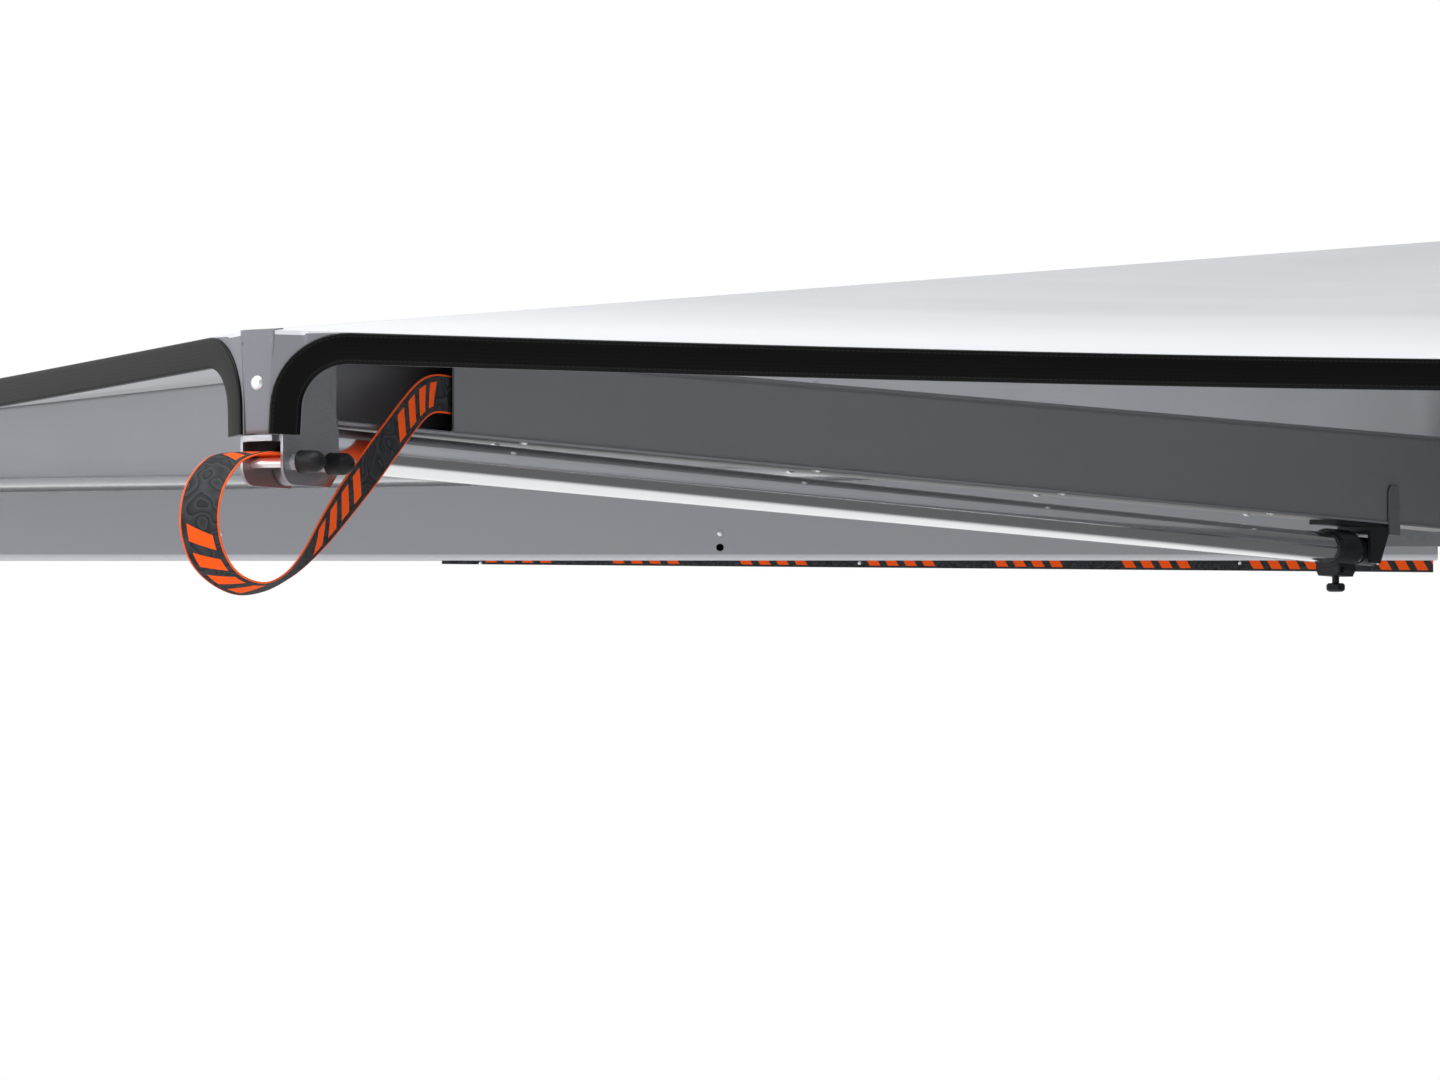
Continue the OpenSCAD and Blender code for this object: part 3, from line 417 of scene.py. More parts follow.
def powder_coat(name, base, other, rough, lip=None):
    """Powder coat on aluminium: baked polyester, satin, with a fine orange peel of 1.5 mm.

    lip gives the heights between which the extrusion's lower lip is painted paler, in metres,
    and that band's hex colour and metallic value: a painted highlight along its rounded edge."""
    material, tree, shader = finish(name, base, rough[0], **{"Specular IOR Level": 0.5})
    mottle(tree, shader, base, other, rough, scale=650, share=0.35, height=0.00002)
    if lip:
        # Painted highlight: a paler band along the lower lip, where its rounded edge catches the light
        low, high, lip_highlight, metallic = lip
        place = add(tree, "ShaderNodeSeparateXYZ", {
            0: add(tree, "ShaderNodeTexCoord").outputs["Object"]})
        lit_band = add(tree, "ShaderNodeMath", {
            0: place.outputs[2], 1: (low + high) / 2, 2: (high - low) / 2}, operation="COMPARE")
        coated = shader.inputs["Base Color"].links[0].from_socket
        both = add(tree, "ShaderNodeMix", {
            "Factor": lit_band.outputs[0], "A": coated, "B": tint(lip_highlight)}, data_type="RGBA")
        tree.links.new(both.outputs["Result"], shader.inputs["Base Color"])
        shine = add(tree, "ShaderNodeMath", {0: lit_band.outputs[0], 1: metallic},
                    operation="MULTIPLY")
        tree.links.new(shine.outputs[0], shader.inputs["Metallic"])
    return material


def zinc_steel(name, base, other, rough=(0.36, 0.48)):
    """Bright zinc plate on folded steel sheet: a cool grey with a faint rolled grain."""
    material, tree, shader = finish(name, base, rough[0], metallic=0.7)
    mottle(tree, shader, base, other, rough, scale=120, share=0.5, height=0.000006,
           stretch=(1, 1, 6))
    return material


def coated_screws(name, base, coat_colour, start):
    """Zinc plated screws, those beyond x = start coated over with what they hold."""
    material, tree, shader = finish(name, base, 0.35, metallic=0.7)
    place = add(tree, "ShaderNodeSeparateXYZ", {
        0: add(tree, "ShaderNodeTexCoord").outputs["Object"]})
    beyond = add(tree, "ShaderNodeMath", {0: place.outputs[0], 1: start},
                 operation="GREATER_THAN")
    both = add(tree, "ShaderNodeMix", {
        "Factor": beyond.outputs[0], "A": tint(base), "B": tint(coat_colour)}, data_type="RGBA")
    tree.links.new(both.outputs["Result"], shader.inputs["Base Color"])
    return material


def drawn_tube(name, base, other, rough=(0.2, 0.34), metallic=0.95):
    """Anodised drawn aluminium: satin, with a faint cloudy drift 50 mm wide.

    metallic is lower where a thick, milky anodised layer scatters light above the metal."""
    material, tree, shader = finish(name, base, rough[0], metallic=metallic)
    mottle(tree, shader, base, other, rough, scale=20, share=0.6)
    return material


def moulded(name, base, other, rough):
    """Moulded plastic or rubber: an even colour with a spark-eroded grain.

    The grain is about 0.1 mm wide on the real pieces, and is drawn 1 mm wide to show."""
    material, tree, shader = finish(name, base, rough[0], **{"Specular IOR Level": 0.25})
    mottle(tree, shader, base, other, rough, scale=900, share=0.7, height=0.00003)
    return material


def woven(name, base, other, rough, specular, painted_shade=None, painted_sheen=None):
    """Coated woven cloth: plain weave drawn on the UV map, with a slow drift of colour.

    Threads are 0.5 mm apart on the real cloth, too fine to show here, so they are drawn 3 mm
    apart. The weave is the product of two waves, one along u and one along v. The darker hex
    colour, when given, fills the cloth beyond v = ROOF_RUN, the upright edge panel: painted
    shade on the same cloth. The paler hex colour, when given, fills the roof's last 0.7 m and
    slanting streaks: a painted highlight where the cloth turns over the edge, and painted
    reflections of the roof's folds."""
    material, tree, shader = finish(name, base, rough, **{"Specular IOR Level": specular})
    uv = add(tree, "ShaderNodeUVMap", uv_map="Cloth").outputs[0]
    waves = [add(tree, "ShaderNodeTexWave", {
        "Vector": uv, "Scale": waves_apart(0.003), "Distortion": 0.0},
        bands_direction=way) for way in ("X", "Y")]
    weave = add(tree, "ShaderNodeMath", {
        0: waves[0].outputs["Fac"], 1: waves[1].outputs["Fac"]}, operation="MULTIPLY")
    cloud = add(tree, "ShaderNodeTexNoise", {"Vector": uv, "Scale": 5.0, "Detail": 4.0})
    grain = add(tree, "ShaderNodeTexNoise", {"Vector": uv, "Scale": 240.0, "Detail": 2.0})
    mixed = add(tree, "ShaderNodeMath", {
        0: cloud.outputs["Fac"], 1: grain.outputs["Fac"]}, operation="MULTIPLY")
    drift = add(tree, "ShaderNodeMix", {
        "Factor": mixed.outputs[0], "A": tint(base), "B": tint(other)}, data_type="RGBA")
    if painted_sheen:
        # Painted highlight: paler towards the edge, and painted reflections in slanting streaks 0.9 m long
        # and 0.2 m wide
        run = add(tree, "ShaderNodeSeparateXYZ", {0: uv}).outputs[1]
        edge_sheen = add(tree, "ShaderNodeMapRange", {
            "Value": run, "From Min": ROOF_RUN - 0.7, "From Max": ROOF_RUN - 0.04,
            "To Min": 0.0, "To Max": 0.9}, interpolation_type="SMOOTHSTEP")
        slant = add(tree, "ShaderNodeMapping", {
            "Vector": uv, "Rotation": (0, 0, 0.45), "Scale": (1.1, 5.0, 1.0)})
        streak = add(tree, "ShaderNodeTexNoise", {
            "Vector": slant.outputs[0], "Scale": 1.0, "Detail": 1.5})
        fold = add(tree, "ShaderNodeMapRange", {
            "Value": streak.outputs["Fac"], "From Min": 0.36, "From Max": 0.64,
            "To Min": -0.05, "To Max": 0.1})
        share = add(tree, "ShaderNodeMath", {
            0: edge_sheen.outputs[0], 1: fold.outputs[0]}, operation="ADD", use_clamp=True)
        drift = add(tree, "ShaderNodeMix", {
            "Factor": share.outputs[0], "A": drift.outputs["Result"], "B": tint(painted_sheen)},
            data_type="RGBA")
    # Painted shade: beyond v = ROOF_RUN the upright edge panel takes a darker colour of the same cloth
    if painted_shade:
        far = add(tree, "ShaderNodeMath", {
            0: add(tree, "ShaderNodeSeparateXYZ", {0: uv}).outputs[1], 1: ROOF_RUN + 0.001},
            operation="GREATER_THAN")
        drift = add(tree, "ShaderNodeMix", {
            "Factor": far.outputs[0], "A": drift.outputs["Result"], "B": tint(painted_shade)},
            data_type="RGBA")
    tree.links.new(drift.outputs["Result"], shader.inputs["Base Color"])
    bump = add(tree, "ShaderNodeBump", {"Height": weave.outputs[0], "Distance": 0.00002})
    tree.links.new(bump.outputs[0], shader.inputs["Normal"])
    return material


def edge_tape(name, base, other):
    """Black binding tape: ribs along it and two rows of 3 mm stitches, begun 4 mm apart.

    The ribs are 1.6 mm apart on the real tape and drawn twice as coarse, to show. The rows
    lie 3 mm inside the tape's two edges."""
    material, tree, shader = finish(name, base, 0.35, **{"Specular IOR Level": 0.15})
    uv = add(tree, "ShaderNodeUVMap", uv_map="Cloth").outputs[0]
    parts = add(tree, "ShaderNodeSeparateXYZ", {0: uv})
    ribs = add(tree, "ShaderNodeTexWave", {
        "Vector": uv, "Scale": waves_apart(0.0032)}, bands_direction="Y")
    pitch, stitch_length, inset, half_thread = 0.004, 0.003, 0.003, 0.0005
    run = add(tree, "ShaderNodeMath", {0: parts.outputs[0], 1: pitch}, operation="MODULO")
    dash = add(tree, "ShaderNodeMath", {0: run.outputs[0], 1: stitch_length},
               operation="LESS_THAN")
    rows = [add(tree, "ShaderNodeMath", {0: parts.outputs[1], 1: v, 2: half_thread},
                operation="COMPARE") for v in (inset, BAND - inset)]
    either = add(tree, "ShaderNodeMath", {
        0: rows[0].outputs[0], 1: rows[1].outputs[0]}, operation="MAXIMUM")
    stitch = add(tree, "ShaderNodeMath", {
        0: either.outputs[0], 1: dash.outputs[0]}, operation="MULTIPLY")
    blend = add(tree, "ShaderNodeMix", {
        "Factor": stitch.outputs[0], "A": tint(base), "B": tint(other)}, data_type="RGBA")
    tree.links.new(blend.outputs["Result"], shader.inputs["Base Color"])
    height = add(tree, "ShaderNodeMath", {
        0: stitch.outputs[0], 1: 2.0, 2: ribs.outputs["Fac"]}, operation="MULTIPLY_ADD")
    bump = add(tree, "ShaderNodeBump", {"Height": height.outputs[0], "Distance": 0.00003})
    tree.links.new(bump.outputs[0], shader.inputs["Normal"])
    return material


def webbing(name, face, mark, width, rim=0.045, margin=0.19):
    """Printed polyester webbing: a charcoal face, and an orange back where it has a rim.

    The face carries groups of four plain slanted blocks, 13 mm wide and 22 mm apart, with
    three left out between two groups. v from 0 to the width is the face and above 1.5 widths
    the back, as strip() lays them out. rim is the share of the width that the orange back
    shows along each edge of the face, and margin the share left plain above and below the
    blocks."""
    block, pitch, lean = 0.013, 0.022, 0.55
    material, tree, shader = finish(name, face, 0.7, **{"Specular IOR Level": 0.15})
    uv = add(tree, "ShaderNodeUVMap", uv_map="Cloth").outputs[0]
    parts = add(tree, "ShaderNodeSeparateXYZ", {0: uv})
    u, v = parts.outputs[0], parts.outputs[1]
    along = add(tree, "ShaderNodeMath", {0: v, 1: lean, 2: u}, operation="MULTIPLY_ADD")
    in_pitch, in_group = (add(tree, "ShaderNodeMath", {0: along.outputs[0], 1: length},
                              operation="MODULO") for length in (pitch, 7 * pitch))
    # Four tests, each 1 where it holds, whose product is 1 on a block
    orange = 1.0
    for value, limit, way in ((in_pitch.outputs[0], block, "LESS_THAN"),
                              (in_group.outputs[0], 4 * pitch, "LESS_THAN"),
                              (v, margin * width, "GREATER_THAN"),
                              (v, (1 - margin) * width, "LESS_THAN")):
        test = add(tree, "ShaderNodeMath", {0: value, 1: limit}, operation=way)
        orange = add(tree, "ShaderNodeMath", {0: orange, 1: test.outputs[0]},
                     operation="MULTIPLY").outputs[0]
    if rim:
        for limit, way in ((rim * width, "LESS_THAN"), ((1 - rim) * width, "GREATER_THAN")):
            edge = add(tree, "ShaderNodeMath", {0: v, 1: limit}, operation=way)
            orange = add(tree, "ShaderNodeMath", {0: orange, 1: edge.outputs[0]},
                         operation="MAXIMUM").outputs[0]
    # A woven-in contour pattern, tone on tone: nine levels of a noise with 24 mm features
    cloud = add(tree, "ShaderNodeTexNoise", {"Vector": uv, "Scale": 42.0, "Detail": 1.0})
    levels = add(tree, "ShaderNodeMath", {0: cloud.outputs["Fac"], 1: 9.0},
                 operation="MULTIPLY")
    contour = add(tree, "ShaderNodeMath", {0: levels.outputs[0]}, operation="FRACT")
    cloth = add(tree, "ShaderNodeMix", {
        "Factor": contour.outputs[0], "A": tint(face), "B": tint("#3f4042")}, data_type="RGBA")
    blend = add(tree, "ShaderNodeMix", {
        "Factor": orange, "A": cloth.outputs["Result"], "B": tint(mark)}, data_type="RGBA")
    tree.links.new(blend.outputs["Result"], shader.inputs["Base Color"])
    # The twill's slanting ribs, 1.5 mm apart on the real webbing and drawn twice as coarse. A
    # diagonal wave's period, counted along u + v, is twice that of a straight one
    ribs = add(tree, "ShaderNodeTexWave", {
        "Vector": uv, "Scale": 2 * waves_apart(0.003), "Distortion": 1.0,
        "Detail Scale": 20.0}, bands_direction="DIAGONAL")
    bump = add(tree, "ShaderNodeBump", {"Height": ribs.outputs["Fac"], "Distance": 0.00004})
    tree.links.new(bump.outputs[0], shader.inputs["Normal"])
    return material


def thicken(piece, thickness):
    """Gives a cloth surface its thickness, half to each side."""
    wall = piece.modifiers.new("Cloth", "SOLIDIFY")
    wall.thickness = thickness
    wall.offset = 0


def dress(piece, material, body=None):
    """Gives a piece its material and the body it rides on."""
    piece.data.materials.clear()
    piece.data.materials.append(material)
    if body:
        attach(piece, body)


def of_each(member_name, *parts):
    """The names of one or more parts' CAD nodes on all three arms or legs."""
    return [f"{member_name}_{k}_{part}" for k in ARMS for part in parts]


def coat(names, material):
    """Puts a material on CAD nodes, in their objects' own slots."""
    for name in names:
        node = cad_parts[name]
        for held in node.material_slots:
            held.link = "OBJECT"
            held.material = material


# Settings

class AwningCanopy(bpy.types.PropertyGroup):
    """What a user would change on the canopy."""
    cloth: bpy.props.StringProperty(
        name="Cloth", description="sRGB hex colour of the canopy", default="#babbbe")
    # Painted highlight: the paler colour of the roof by its edge and in its slanting streaks, standing in
    # for sheen
    painted_sheen: bpy.props.StringProperty(
        name="Taut cloth", description="sRGB hex colour of the cloth where it is pulled tight",
        default="#d3d4d7")
    # Painted shade: the darker colour of the upright edge panel and the tabs, the same cloth in shade
    painted_shade: bpy.props.StringProperty(
        name="Facing", description="sRGB hex colour of the edge's facing and the tabs",
        default="#7f8085")
    edge: bpy.props.StringProperty(
        name="Edge tape", description="sRGB hex colour of the edge tape", default="#090909")
    tape_thickness: bpy.props.FloatProperty(
        name="Edge tape thickness", description="Thickness of the folded edge tape",
        default=0.004, min=0.002, max=0.006, unit="LENGTH")
    cloth_thickness: bpy.props.FloatProperty(
        name="Cloth thickness", description="Thickness of the coated cloth",
        default=0.0012, min=0.0005, max=0.002, unit="LENGTH")


class AwningMetal(bpy.types.PropertyGroup):
    """Colours of the rigid pieces."""
    arm: bpy.props.StringProperty(
        name="Arms", description="sRGB hex colour of the arms' coat", default="#77787b")
    backbone: bpy.props.StringProperty(
        name="Backbone", description="sRGB hex colour of the backbone's coat",
        default="#a9aaae")
    bracket: bpy.props.StringProperty(
        name="Brackets", description="sRGB hex colour of the plated brackets",
        default="#97989c")


class AwningStraps(bpy.types.PropertyGroup):
    """What a user would change on the webbing."""
    face: bpy.props.StringProperty(
        name="Face", description="sRGB hex colour of the webbing's face", default="#242527")
    mark: bpy.props.StringProperty(
        name="Marks", description="sRGB hex colour of the marks, edges and back",
        default="#ff5c14")
    width: bpy.props.FloatProperty(
        name="Width", description="Width of the webbing", default=0.032, min=0.02, max=0.034,
        unit="LENGTH")
    thickness: bpy.props.FloatProperty(
        name="Thickness", description="Thickness of the webbing", default=0.0016, min=0.001,
        max=0.002, unit="LENGTH")


class AwningStudio(bpy.types.PropertyGroup):
    """Light and background."""
    ambient: bpy.props.FloatProperty(
        name="Ambient", description="Strength of the light from all round", default=0.62,
        min=0.0, max=2.0)
    key: bpy.props.FloatProperty(
        name="Key lamp", description="Power of the lamp over the awning", default=330.0,
        min=0.0, max=5000.0)
    front: bpy.props.FloatProperty(
        name="Dark walls", description="How bright glossy surfaces see the front and right",
        default=0.12, min=0.0, max=1.0)


# Operators

class AWNING_OT_studio(bpy.types.Operator):
    """Set up the camera, a pale floor, the white background and the lamps"""
    bl_idname = "awning.studio"
    bl_label = "Studio"

    def execute(self, context):
        scene = context.scene
        scene.view_settings.view_transform = "Standard"
        self.camera(scene)
        self.world(scene)
        self.floor(scene.awning_studio.front)
        self.lamps(scene)
        return {"FINISHED"}

    def camera(self, scene):
        """A long lens at the photograph's place, tipped up to its horizon."""
        lens = bpy.data.cameras.new("Camera")
        lens.sensor_width = SENSOR_MM
        lens.lens = SENSOR_MM * FOCAL_PX / FRAME_PX
        lens.sensor_fit = "HORIZONTAL"
        lens.clip_end = 200.0
        lens.dof.use_dof = False
        camera = bpy.data.objects.new("Camera", lens)
        camera.location = CAMERA_AT
        camera.rotation_euler = (math.pi / 2 + math.atan(HORIZON_PX / FOCAL_PX), 0, 0)
        scene.collection.objects.link(camera)
        scene.camera = camera

    def world(self, scene):
        """Soft light from all round, white to the camera and through glass.

        A glossy surface sees a white studio, dark towards the front, -Y, and the right, +X."""
        world = bpy.data.worlds.new("Studio")
        world.use_nodes = True
        tree = world.node_tree
        tree.nodes.clear()
        path = add(tree, "ShaderNodeLightPath")
        seen = add(tree, "ShaderNodeMath", {
            0: path.outputs["Is Camera Ray"], 1: path.outputs["Is Transmission Ray"]},
            operation="MAXIMUM")
        glossy = add(tree, "ShaderNodeMath", {
            0: seen.outputs[0], 1: path.outputs["Is Glossy Ray"]}, operation="MAXIMUM")
        light = add(tree, "ShaderNodeBackground", {
            "Color": tint("#f4f6fa"), "Strength": scene.awning_studio.ambient})
        way = add(tree, "ShaderNodeSeparateXYZ", {
            0: add(tree, "ShaderNodeTexCoord").outputs["Generated"]})
        dim = scene.awning_studio.front
        ahead = add(tree, "ShaderNodeMapRange", {
            "Value": way.outputs[1], "From Min": -0.75, "From Max": -0.1,
            "To Min": dim, "To Max": 1.0}, interpolation_type="SMOOTHSTEP")
        right = add(tree, "ShaderNodeMapRange", {
            "Value": way.outputs[0], "From Min": 0.3, "From Max": 0.6,
            "To Min": 1.0, "To Max": dim}, interpolation_type="SMOOTHSTEP")
        wall = add(tree, "ShaderNodeMath", {
            0: ahead.outputs[0], 1: right.outputs[0]}, operation="MINIMUM")
        seen_white = add(tree, "ShaderNodeMath", {
            0: wall.outputs[0], 1: seen.outputs[0]}, operation="MAXIMUM")
        white = add(tree, "ShaderNodeBackground", {
            "Color": (1, 1, 1, 1), "Strength": seen_white.outputs[0]})
        both = add(tree, "ShaderNodeMixShader", {
            0: glossy.outputs[0], 1: light.outputs[0], 2: white.outputs[0]})
        add(tree, "ShaderNodeOutputWorld", {"Surface": both.outputs[0]})
        scene.world = world

    def floor(self, dim):
        """A pale floor, white to the camera, that keeps what light falls on it from there.

        Glossy surfaces see it grow dark, down to dim, far to the right and far behind."""
        x, y = np.meshgrid([-FLOOR_HALF, FLOOR_HALF], [-FLOOR_HALF, FLOOR_HALF], indexing="ij")
        floor = surface("floor", np.stack([x, y, np.full_like(x, FLOOR_Z)], -1))
        material, tree, shader = finish("Pale floor", "#f3f3f3", 0.9)
        path = add(tree, "ShaderNodeLightPath")
        seen = add(tree, "ShaderNodeMath", {
            0: path.outputs["Is Camera Ray"], 1: path.outputs["Is Glossy Ray"]},
            operation="MAXIMUM")
        place = add(tree, "ShaderNodeSeparateXYZ", {
            0: add(tree, "ShaderNodeTexCoord").outputs["Object"]})
        fades = [add(tree, "ShaderNodeMapRange", {
            "Value": place.outputs[axis], "From Min": near, "From Max": far,
            "To Min": 1.0, "To Max": dim}, interpolation_type="SMOOTHSTEP")
            for axis, near, far in ((0, 2.4, 3.8), (1, 8.0, 14.0))]
        lit = add(tree, "ShaderNodeMath", {
            0: fades[0].outputs[0], 1: fades[1].outputs[0]}, operation="MINIMUM")
        pale = add(tree, "ShaderNodeMath", {
            0: lit.outputs[0], 1: path.outputs["Is Camera Ray"]}, operation="MAXIMUM")
        glow = add(tree, "ShaderNodeEmission", {
            "Color": (1, 1, 1, 1), "Strength": pale.outputs[0]})
        both = add(tree, "ShaderNodeMixShader", {
            0: seen.outputs[0], 1: shader.outputs[0], 2: glow.outputs[0]})
        tree.links.new(both.outputs[0], tree.nodes["Out"].inputs["Surface"])
        dress(floor, material)

    def lamps(self, scene):
        """Two soft square lamps, one over the awning and a weaker one from the front left."""
        key = scene.awning_studio.key
        # Each lamp's name, place, target, size in metres and power in watts
        lamps = (("Over", (-1.5, -3.5, 5.0), (0.3, -1.0, 0.0), 5.0, key),
                 ("Front left", (-5.0, -5.0, 0.6), (0.0, -1.2, 0.0), 3.0, key * 0.4))
        for name, place, target, size, power in lamps:
            data = bpy.data.lights.new(name, "AREA")
            data.size = size
            data.energy = power
            lamp = bpy.data.objects.new(name, data)
            lamp.location = place
            aim = np.array(target) - np.array(place)
            lamp.rotation_euler = (
                math.acos(-aim[2] / np.linalg.norm(aim)), 0,
                math.atan2(aim[1], aim[0]) - math.pi / 2)
            scene.collection.objects.link(lamp)


class AWNING_OT_finishes(bpy.types.Operator):
    """Give every rigid CAD node the finish of its material"""
    bl_idname = "awning.finishes"
    bl_label = "Rigid finishes"

    def execute(self, context):
        metal = context.scene.awning_metal
        # A beam's lower lip has a painted highlight: its lowest 2 mm on an arm, and 7 mm on the backbone
        underside = ARM_FLOOR - 0.0305
        coat(of_each("arm", "beam"), powder_coat(
            "Arm powder coat", metal.arm, "#6c6d70", (0.3, 0.4),
            lip=(ARM_FLOOR + 0.0003, ARM_FLOOR + 0.0022, "#a3a4a8", 0.5)))
        coat(["backbone_beam"], powder_coat(
            "Backbone powder coat", metal.backbone, "#a1a2a6", (0.28, 0.38),
            lip=(underside, underside + 0.007, "#cfd0d4", 0.0)))
        coat(of_each("arm", "tip_bracket", "knuckle", "clip_hanger")
             + ["backbone_tip_bracket", "backbone_knuckle"],
             zinc_steel("Zinc plated bracket", metal.bracket, "#84858a"))
        coat(of_each("arm", "fasteners") + ["post_nuts"],
             zinc_steel("Zinc plated fasteners", "#f0f1f3", "#d5d6d9", (0.3, 0.4)))
        # The screws of the plate by the post are coated over, those by the tip are bright
        plate_end = POST[0] - 0.14
        coat(["backbone_fasteners"], coated_screws(
            "Backbone screws", "#f0f1f3", metal.bracket, plate_end))
        coat(["backbone_rail"], drawn_tube(
            "Bright rail", "#fafafa", "#f0f1f2", (0.33, 0.39), metallic=0.5))
        coat(of_each("leg", "outer_tube"),
             drawn_tube("Anodised leg tube", "#e9eaec", "#dfe0e2", (0.1, 0.14)))
        coat(of_each("leg", "inner_tube"),
             drawn_tube("Anodised inner tube", "#7c7d81", "#6c6d71"))
        coat(of_each("leg", "fitting"),
             drawn_tube("Cast leg fitting", "#8d8e92", "#7c7d81", (0.35, 0.5)))
        coat(["post"], drawn_tube("Turned post", "#b5b6b9", "#9b9ca0"))
        coat(of_each("arm", "bushes"), drawn_tube("Brass bush", "#b28a45", "#98743a", (0.25, 0.4)))
        coat(["knuckle_washers"], moulded("Nylon washer", "#dedbd0", "#d2cfc4", (0.4, 0.55)))
        coat(["canopy_crown"], moulded("Hub polypropylene", "#26272a", "#1d1e20", (0.4, 0.6)))
        coat(of_each("arm", "clip") + of_each("leg", "collar", "thumb_screw"),
             moulded("Glass filled nylon", "#1d1e20", "#26272a", (0.35, 0.55)))
        coat(of_each("arm", "bolt_caps") + of_each("leg", "foot"),
             moulded("Moulded rubber", "#1a1b1d", "#232426", (0.42, 0.6)))
        return {"FINISHED"}


class AWNING_OT_canopy(bpy.types.Operator):
    """Build the three cloth panels, each a curved sheet with its edge panel"""
    bl_idname = "awning.canopy"
    bl_label = "Canopy panels"

    def execute(self, context):
        look = context.scene.awning_canopy
        # The edge panel's darker colour is painted shade; the roof's paler edge and streaks are painted
        # highlight and reflections
        cloth = woven("Coated canvas", look.cloth, "#adaeb2", 0.55, 0.12, painted_shade=look.painted_shade,
                      painted_sheen=look.painted_sheen)
        for k in ARMS:
            points, uv = panel(k)
            piece = surface(f"canopy_panel_{k}", points, uv, sharp=30)
            thicken(piece, look.cloth_thickness)
            dress(piece, cloth)
            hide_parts(f"canopy_{k}")
            across_arm(k, piece)
            span = chord(k)[2]
        return {"FINISHED"}


class AWNING_OT_edges(bpy.types.Operator):
    """Sew the black tape along each panel's edge and down beside the tabs"""
    bl_idname = "awning.edges"
    bl_label = "Edge tape"

    def execute(self, context):
        look = context.scene.awning_canopy
        tape = edge_tape("Black edge tape", look.edge, "#1c1c1c")
        for k in ARMS:
            c, d = band_path(k)
            path = valance(k, c, d)
            along = unit(np.gradient(path, axis=0))
            out = np.cross(chord(k)[1], UP)
            out = np.broadcast_to(out, along.shape)
            piece = strip(f"edge_tape_{k}", path + out * BAND_OUT, np.cross(out, along), out,
                          BAND, look.tape_thickness)
            dress(piece, tape)
            across_arm(k, piece)
        return {"FINISHED"}


class AWNING_OT_tabs(bpy.types.Operator):
    """Fold the canopy's tabs down over the members' tips, under their keeper lips"""
    bl_idname = "awning.tabs"
    bl_label = "Tabs"

    def execute(self, context):
        look = context.scene.awning_canopy
        # The tabs take the darker colour of the same cloth: painted shade
        cloth = woven("Coated canvas tab in painted shade", look.painted_shade, "#74757a", 0.6, 0.08)
        # The tab laps over the panels at its sides, lies clear of the tip and bulges a little
        lap, clear, bulge, bulge_from = 0.0012, 0.0008, 0.0006, 0.02
        for k, body in enumerate(BODIES):
            y = np.linspace(-1, 1, 17)[None, :]
            d = np.append([-TAB_OVER, -TAB_OVER / 3], np.linspace(0, TAB_DROP, 24))[:, None]
            half = TAB_HALF + lap - TAB_TAPER * np.clip(d, 0, None) / TAB_DROP
            # Over the tip the tab lies on the roof, then it turns down
            front = np.where(d < 0, CANOPY_FRONT + d, CANOPY_FRONT)
            front = front + bulge * (1 - y ** 2) * np.clip(d, 0, bulge_from) / bulge_from
            z = np.where(d < 0, CANOPY_TIP - d * CANOPY_SLOPE, CANOPY_TIP - d)
            points = member(k, front, half * y, z + clear)
            uv = np.stack(np.broadcast_arrays(half * y, d), -1)
            piece = surface(f"tab_{k}", points, uv, sharp=50)
            thicken(piece, look.cloth_thickness)
            dress(piece, cloth, body)
        return {"FINISHED"}


class AWNING_OT_rear_wall(bpy.types.Operator):
    """Hang the rear wall between the rail and the ridge over the backbone"""
    bl_idname = "awning.rear_wall"
    bl_label = "Rear wall"

    def execute(self, context):
        h = np.linspace(0, 1, 26)[:, None]
        # The wall's end by the post leans outwards to clear the crown
        start = WALL_FROM + WALL_LEAN * h
        x = start + (WALL_TO - start) * np.linspace(0, 1, 90)[None, :]
        # Its foot reaches 3 mm into the rail's top, and its head is sewn under the ridge,
        # which runs to the post, 1.5 pitches to the side of the backbone
        low_z = BACKBONE_TIP_TOP + (ARM_REACH - x) * BACKBONE_SLOPE + RAIL_D - 0.003
        high_z = CROWN_HEIGHT - CANOPY_SLOPE * x - 0.0007
        lean = 1.5 * ARM_PITCH * (1 - x / CANOPY_FRONT)
        # Slack runs in shallow upright folds, strongest half way up
        slack = 0.0016 * np.sin(40 * x + 3 * np.sin(4 * x)) * np.sin(np.pi * h)
        points = member(0, x, lean * h + slack, low_z * (1 - h) + high_z * h)
        uv = np.stack(np.broadcast_arrays(x, h * WALL_RISE), -1)
        piece = surface("rear_wall_sheet", points[:, ::-1], uv[:, ::-1])
        thicken(piece, context.scene.awning_canopy.cloth_thickness)
        dress(piece, woven("Coated canvas wall", "#bdbec2", "#b3b4b8", 0.7, 0.1),
              "backbone")
        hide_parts("rear_wall")
        return {"FINISHED"}


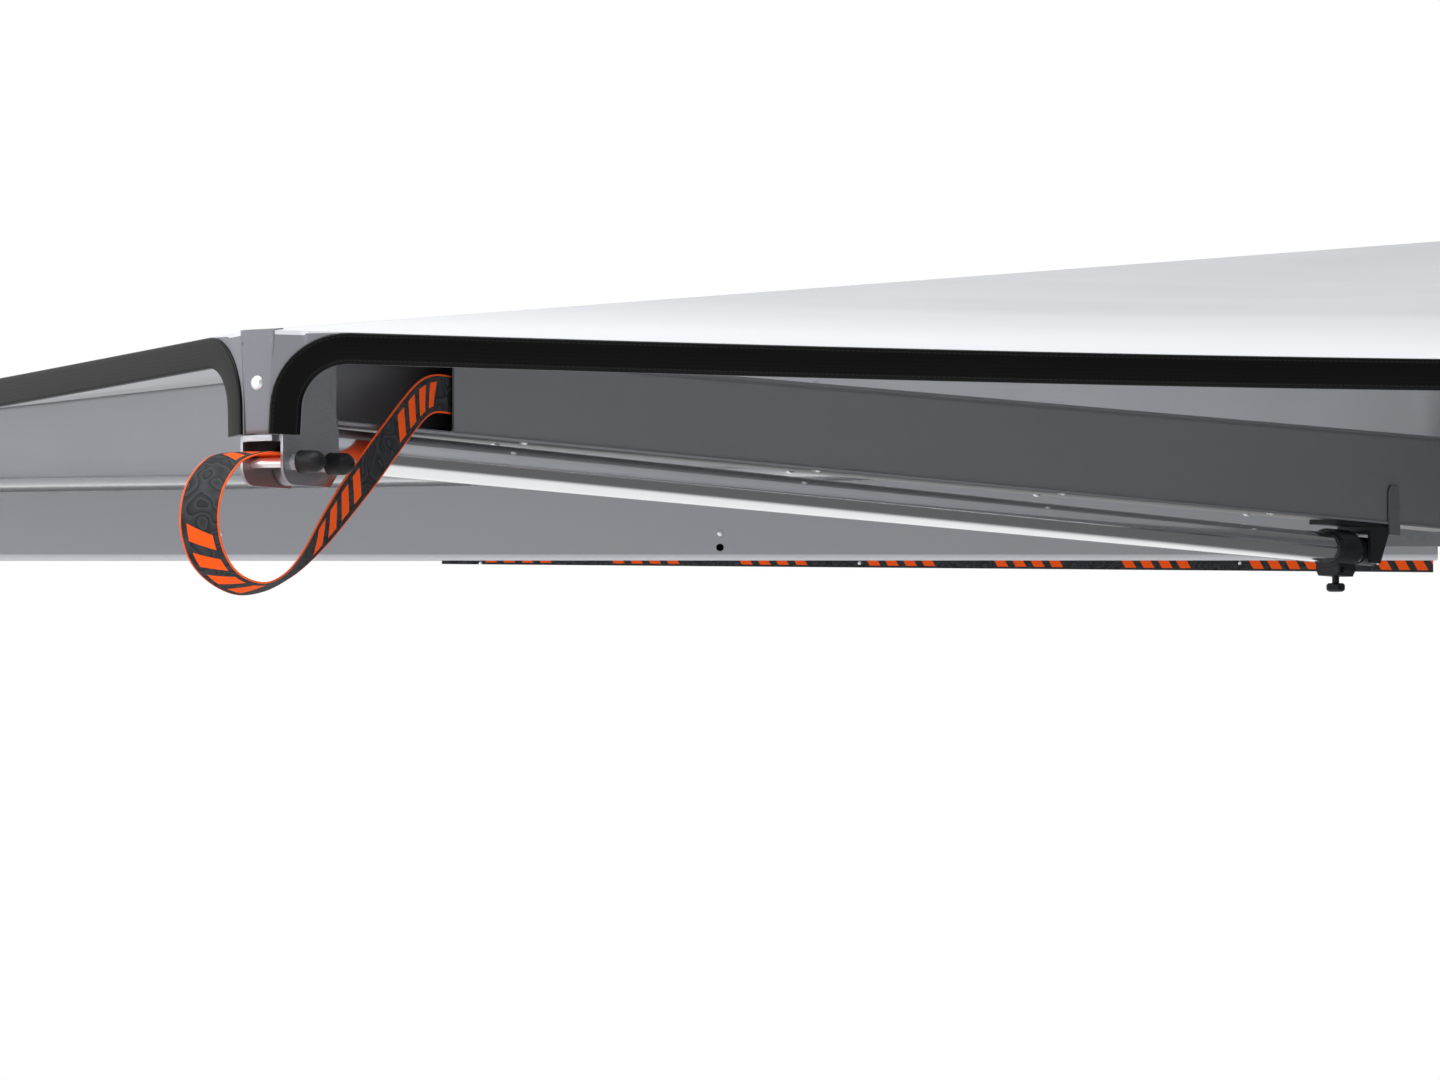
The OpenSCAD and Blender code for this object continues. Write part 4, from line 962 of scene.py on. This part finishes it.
class AWNING_OT_straps(bpy.types.Operator):
    """Lay the webbing: a loop at each arm's tip and the stow strap under the backbone"""
    bl_idname = "awning.straps"
    bl_label = "Straps"

    def execute(self, context):
        look = context.scene.awning_straps
        tape = webbing("Printed webbing", look.face, look.mark, look.width)
        line = smooth_line(LOOP_ROUTE, 6)
        place, turn = line[:, :3] * MM, np.radians(line[:, 3:])
        along = unit(np.gradient(place, axis=0))
        level = unit(np.array([0.0, 1.0, 0.0]) - along * along[:, 1:2])
        side = np.cross(along, level)
        width = level * np.cos(turn) + side * np.sin(turn)
        deep = np.cross(along, width)
        for k in ARMS:
            origin = member(k, 0.0, 0.0, 0.0)
            centre, across, out = (member(k, *v.T) - origin for v in (place, width, deep))
            piece = strip(f"tip_strap_{k}", centre + origin, across, out, look.width,
                          look.thickness)
            dress(piece, tape, f"arm_{k}")
            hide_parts(f"arm_{k}_strap")

        x = np.linspace(STOW_FROM, STOW_TO, 60)
        z = STOW_LOW + STOW_RISE * (x - STOW_FROM) / (STOW_TO - STOW_FROM) + look.width / 2
        path = member(0, x, STOW_ACROSS, z)
        across = np.broadcast_to(UP, path.shape)
        out = np.broadcast_to(member(0, 0.0, 1.0, 0.0) - member(0, 0.0, 0.0, 0.0), path.shape)
        piece = strip("stow_strap", path, across, out, look.width, look.thickness)
        plain = webbing("Printed webbing, black back", look.face, look.mark, look.width, rim=0,
                        margin=0.08)
        dress(piece, plain, "backbone")
        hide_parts("backbone_strap")

        rise, turn = np.meshgrid(np.linspace(0.2, np.pi / 2, 6),
                                 np.linspace(0, 2 * np.pi, 17)[:-1], indexing="ij")
        bright = zinc_steel("Bright rivet", "#f4f5f7", "#e2e3e6", (0.25, 0.35))
        for i, at in enumerate(RIVETS_AT):
            points = member(0, at + RIVET_R * np.sin(rise) * np.cos(turn),
                            RIVET_FOOT + RIVET_HEIGHT * np.cos(rise),
                            RIVET_Z + RIVET_R * np.sin(rise) * np.sin(turn))
            rivet = surface(f"strap_rivet_{i + 1}", points, around=True, caps=True)
            dress(rivet, bright, "backbone")
        return {"FINISHED"}


class AWNING_PT_panel(bpy.types.Panel):
    """Lists the awning's operators and settings in the 3D view's sidebar"""
    bl_label = "Awning"
    bl_idname = "AWNING_PT_panel"
    bl_space_type = "VIEW_3D"
    bl_region_type = "UI"
    bl_category = "Awning"

    def draw(self, context):
        for group in GROUPS:
            settings = getattr(context.scene, group)
            box = self.layout.box()
            for name in settings.bl_rna.properties.keys():
                if name not in ("rna_type", "name"):
                    box.prop(settings, name)
        for operator in OPERATORS:
            self.layout.operator(operator.bl_idname)


GROUPS = {
    "awning_canopy": AwningCanopy,
    "awning_metal": AwningMetal,
    "awning_straps": AwningStraps,
    "awning_studio": AwningStudio,
}
OPERATORS = (
    AWNING_OT_studio,
    AWNING_OT_finishes,
    AWNING_OT_canopy,
    AWNING_OT_edges,
    AWNING_OT_tabs,
    AWNING_OT_rear_wall,
    AWNING_OT_straps,
)


def register():
    """Registers the classes and hangs each group of settings on the scene."""
    for item in (*GROUPS.values(), *OPERATORS, AWNING_PT_panel):
        bpy.utils.register_class(item)
    for name, group in GROUPS.items():
        setattr(bpy.types.Scene, name, bpy.props.PointerProperty(type=group))


def unregister():
    """Takes back what register() did."""
    for name in GROUPS:
        delattr(bpy.types.Scene, name)
    for item in reversed((*GROUPS.values(), *OPERATORS, AWNING_PT_panel)):
        bpy.utils.unregister_class(item)


def main():
    """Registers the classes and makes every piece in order."""
    register()
    for operator in OPERATORS:
        group, name = operator.bl_idname.split(".")
        getattr(getattr(bpy.ops, group), name)()


if __name__ == "__main__":
    main()
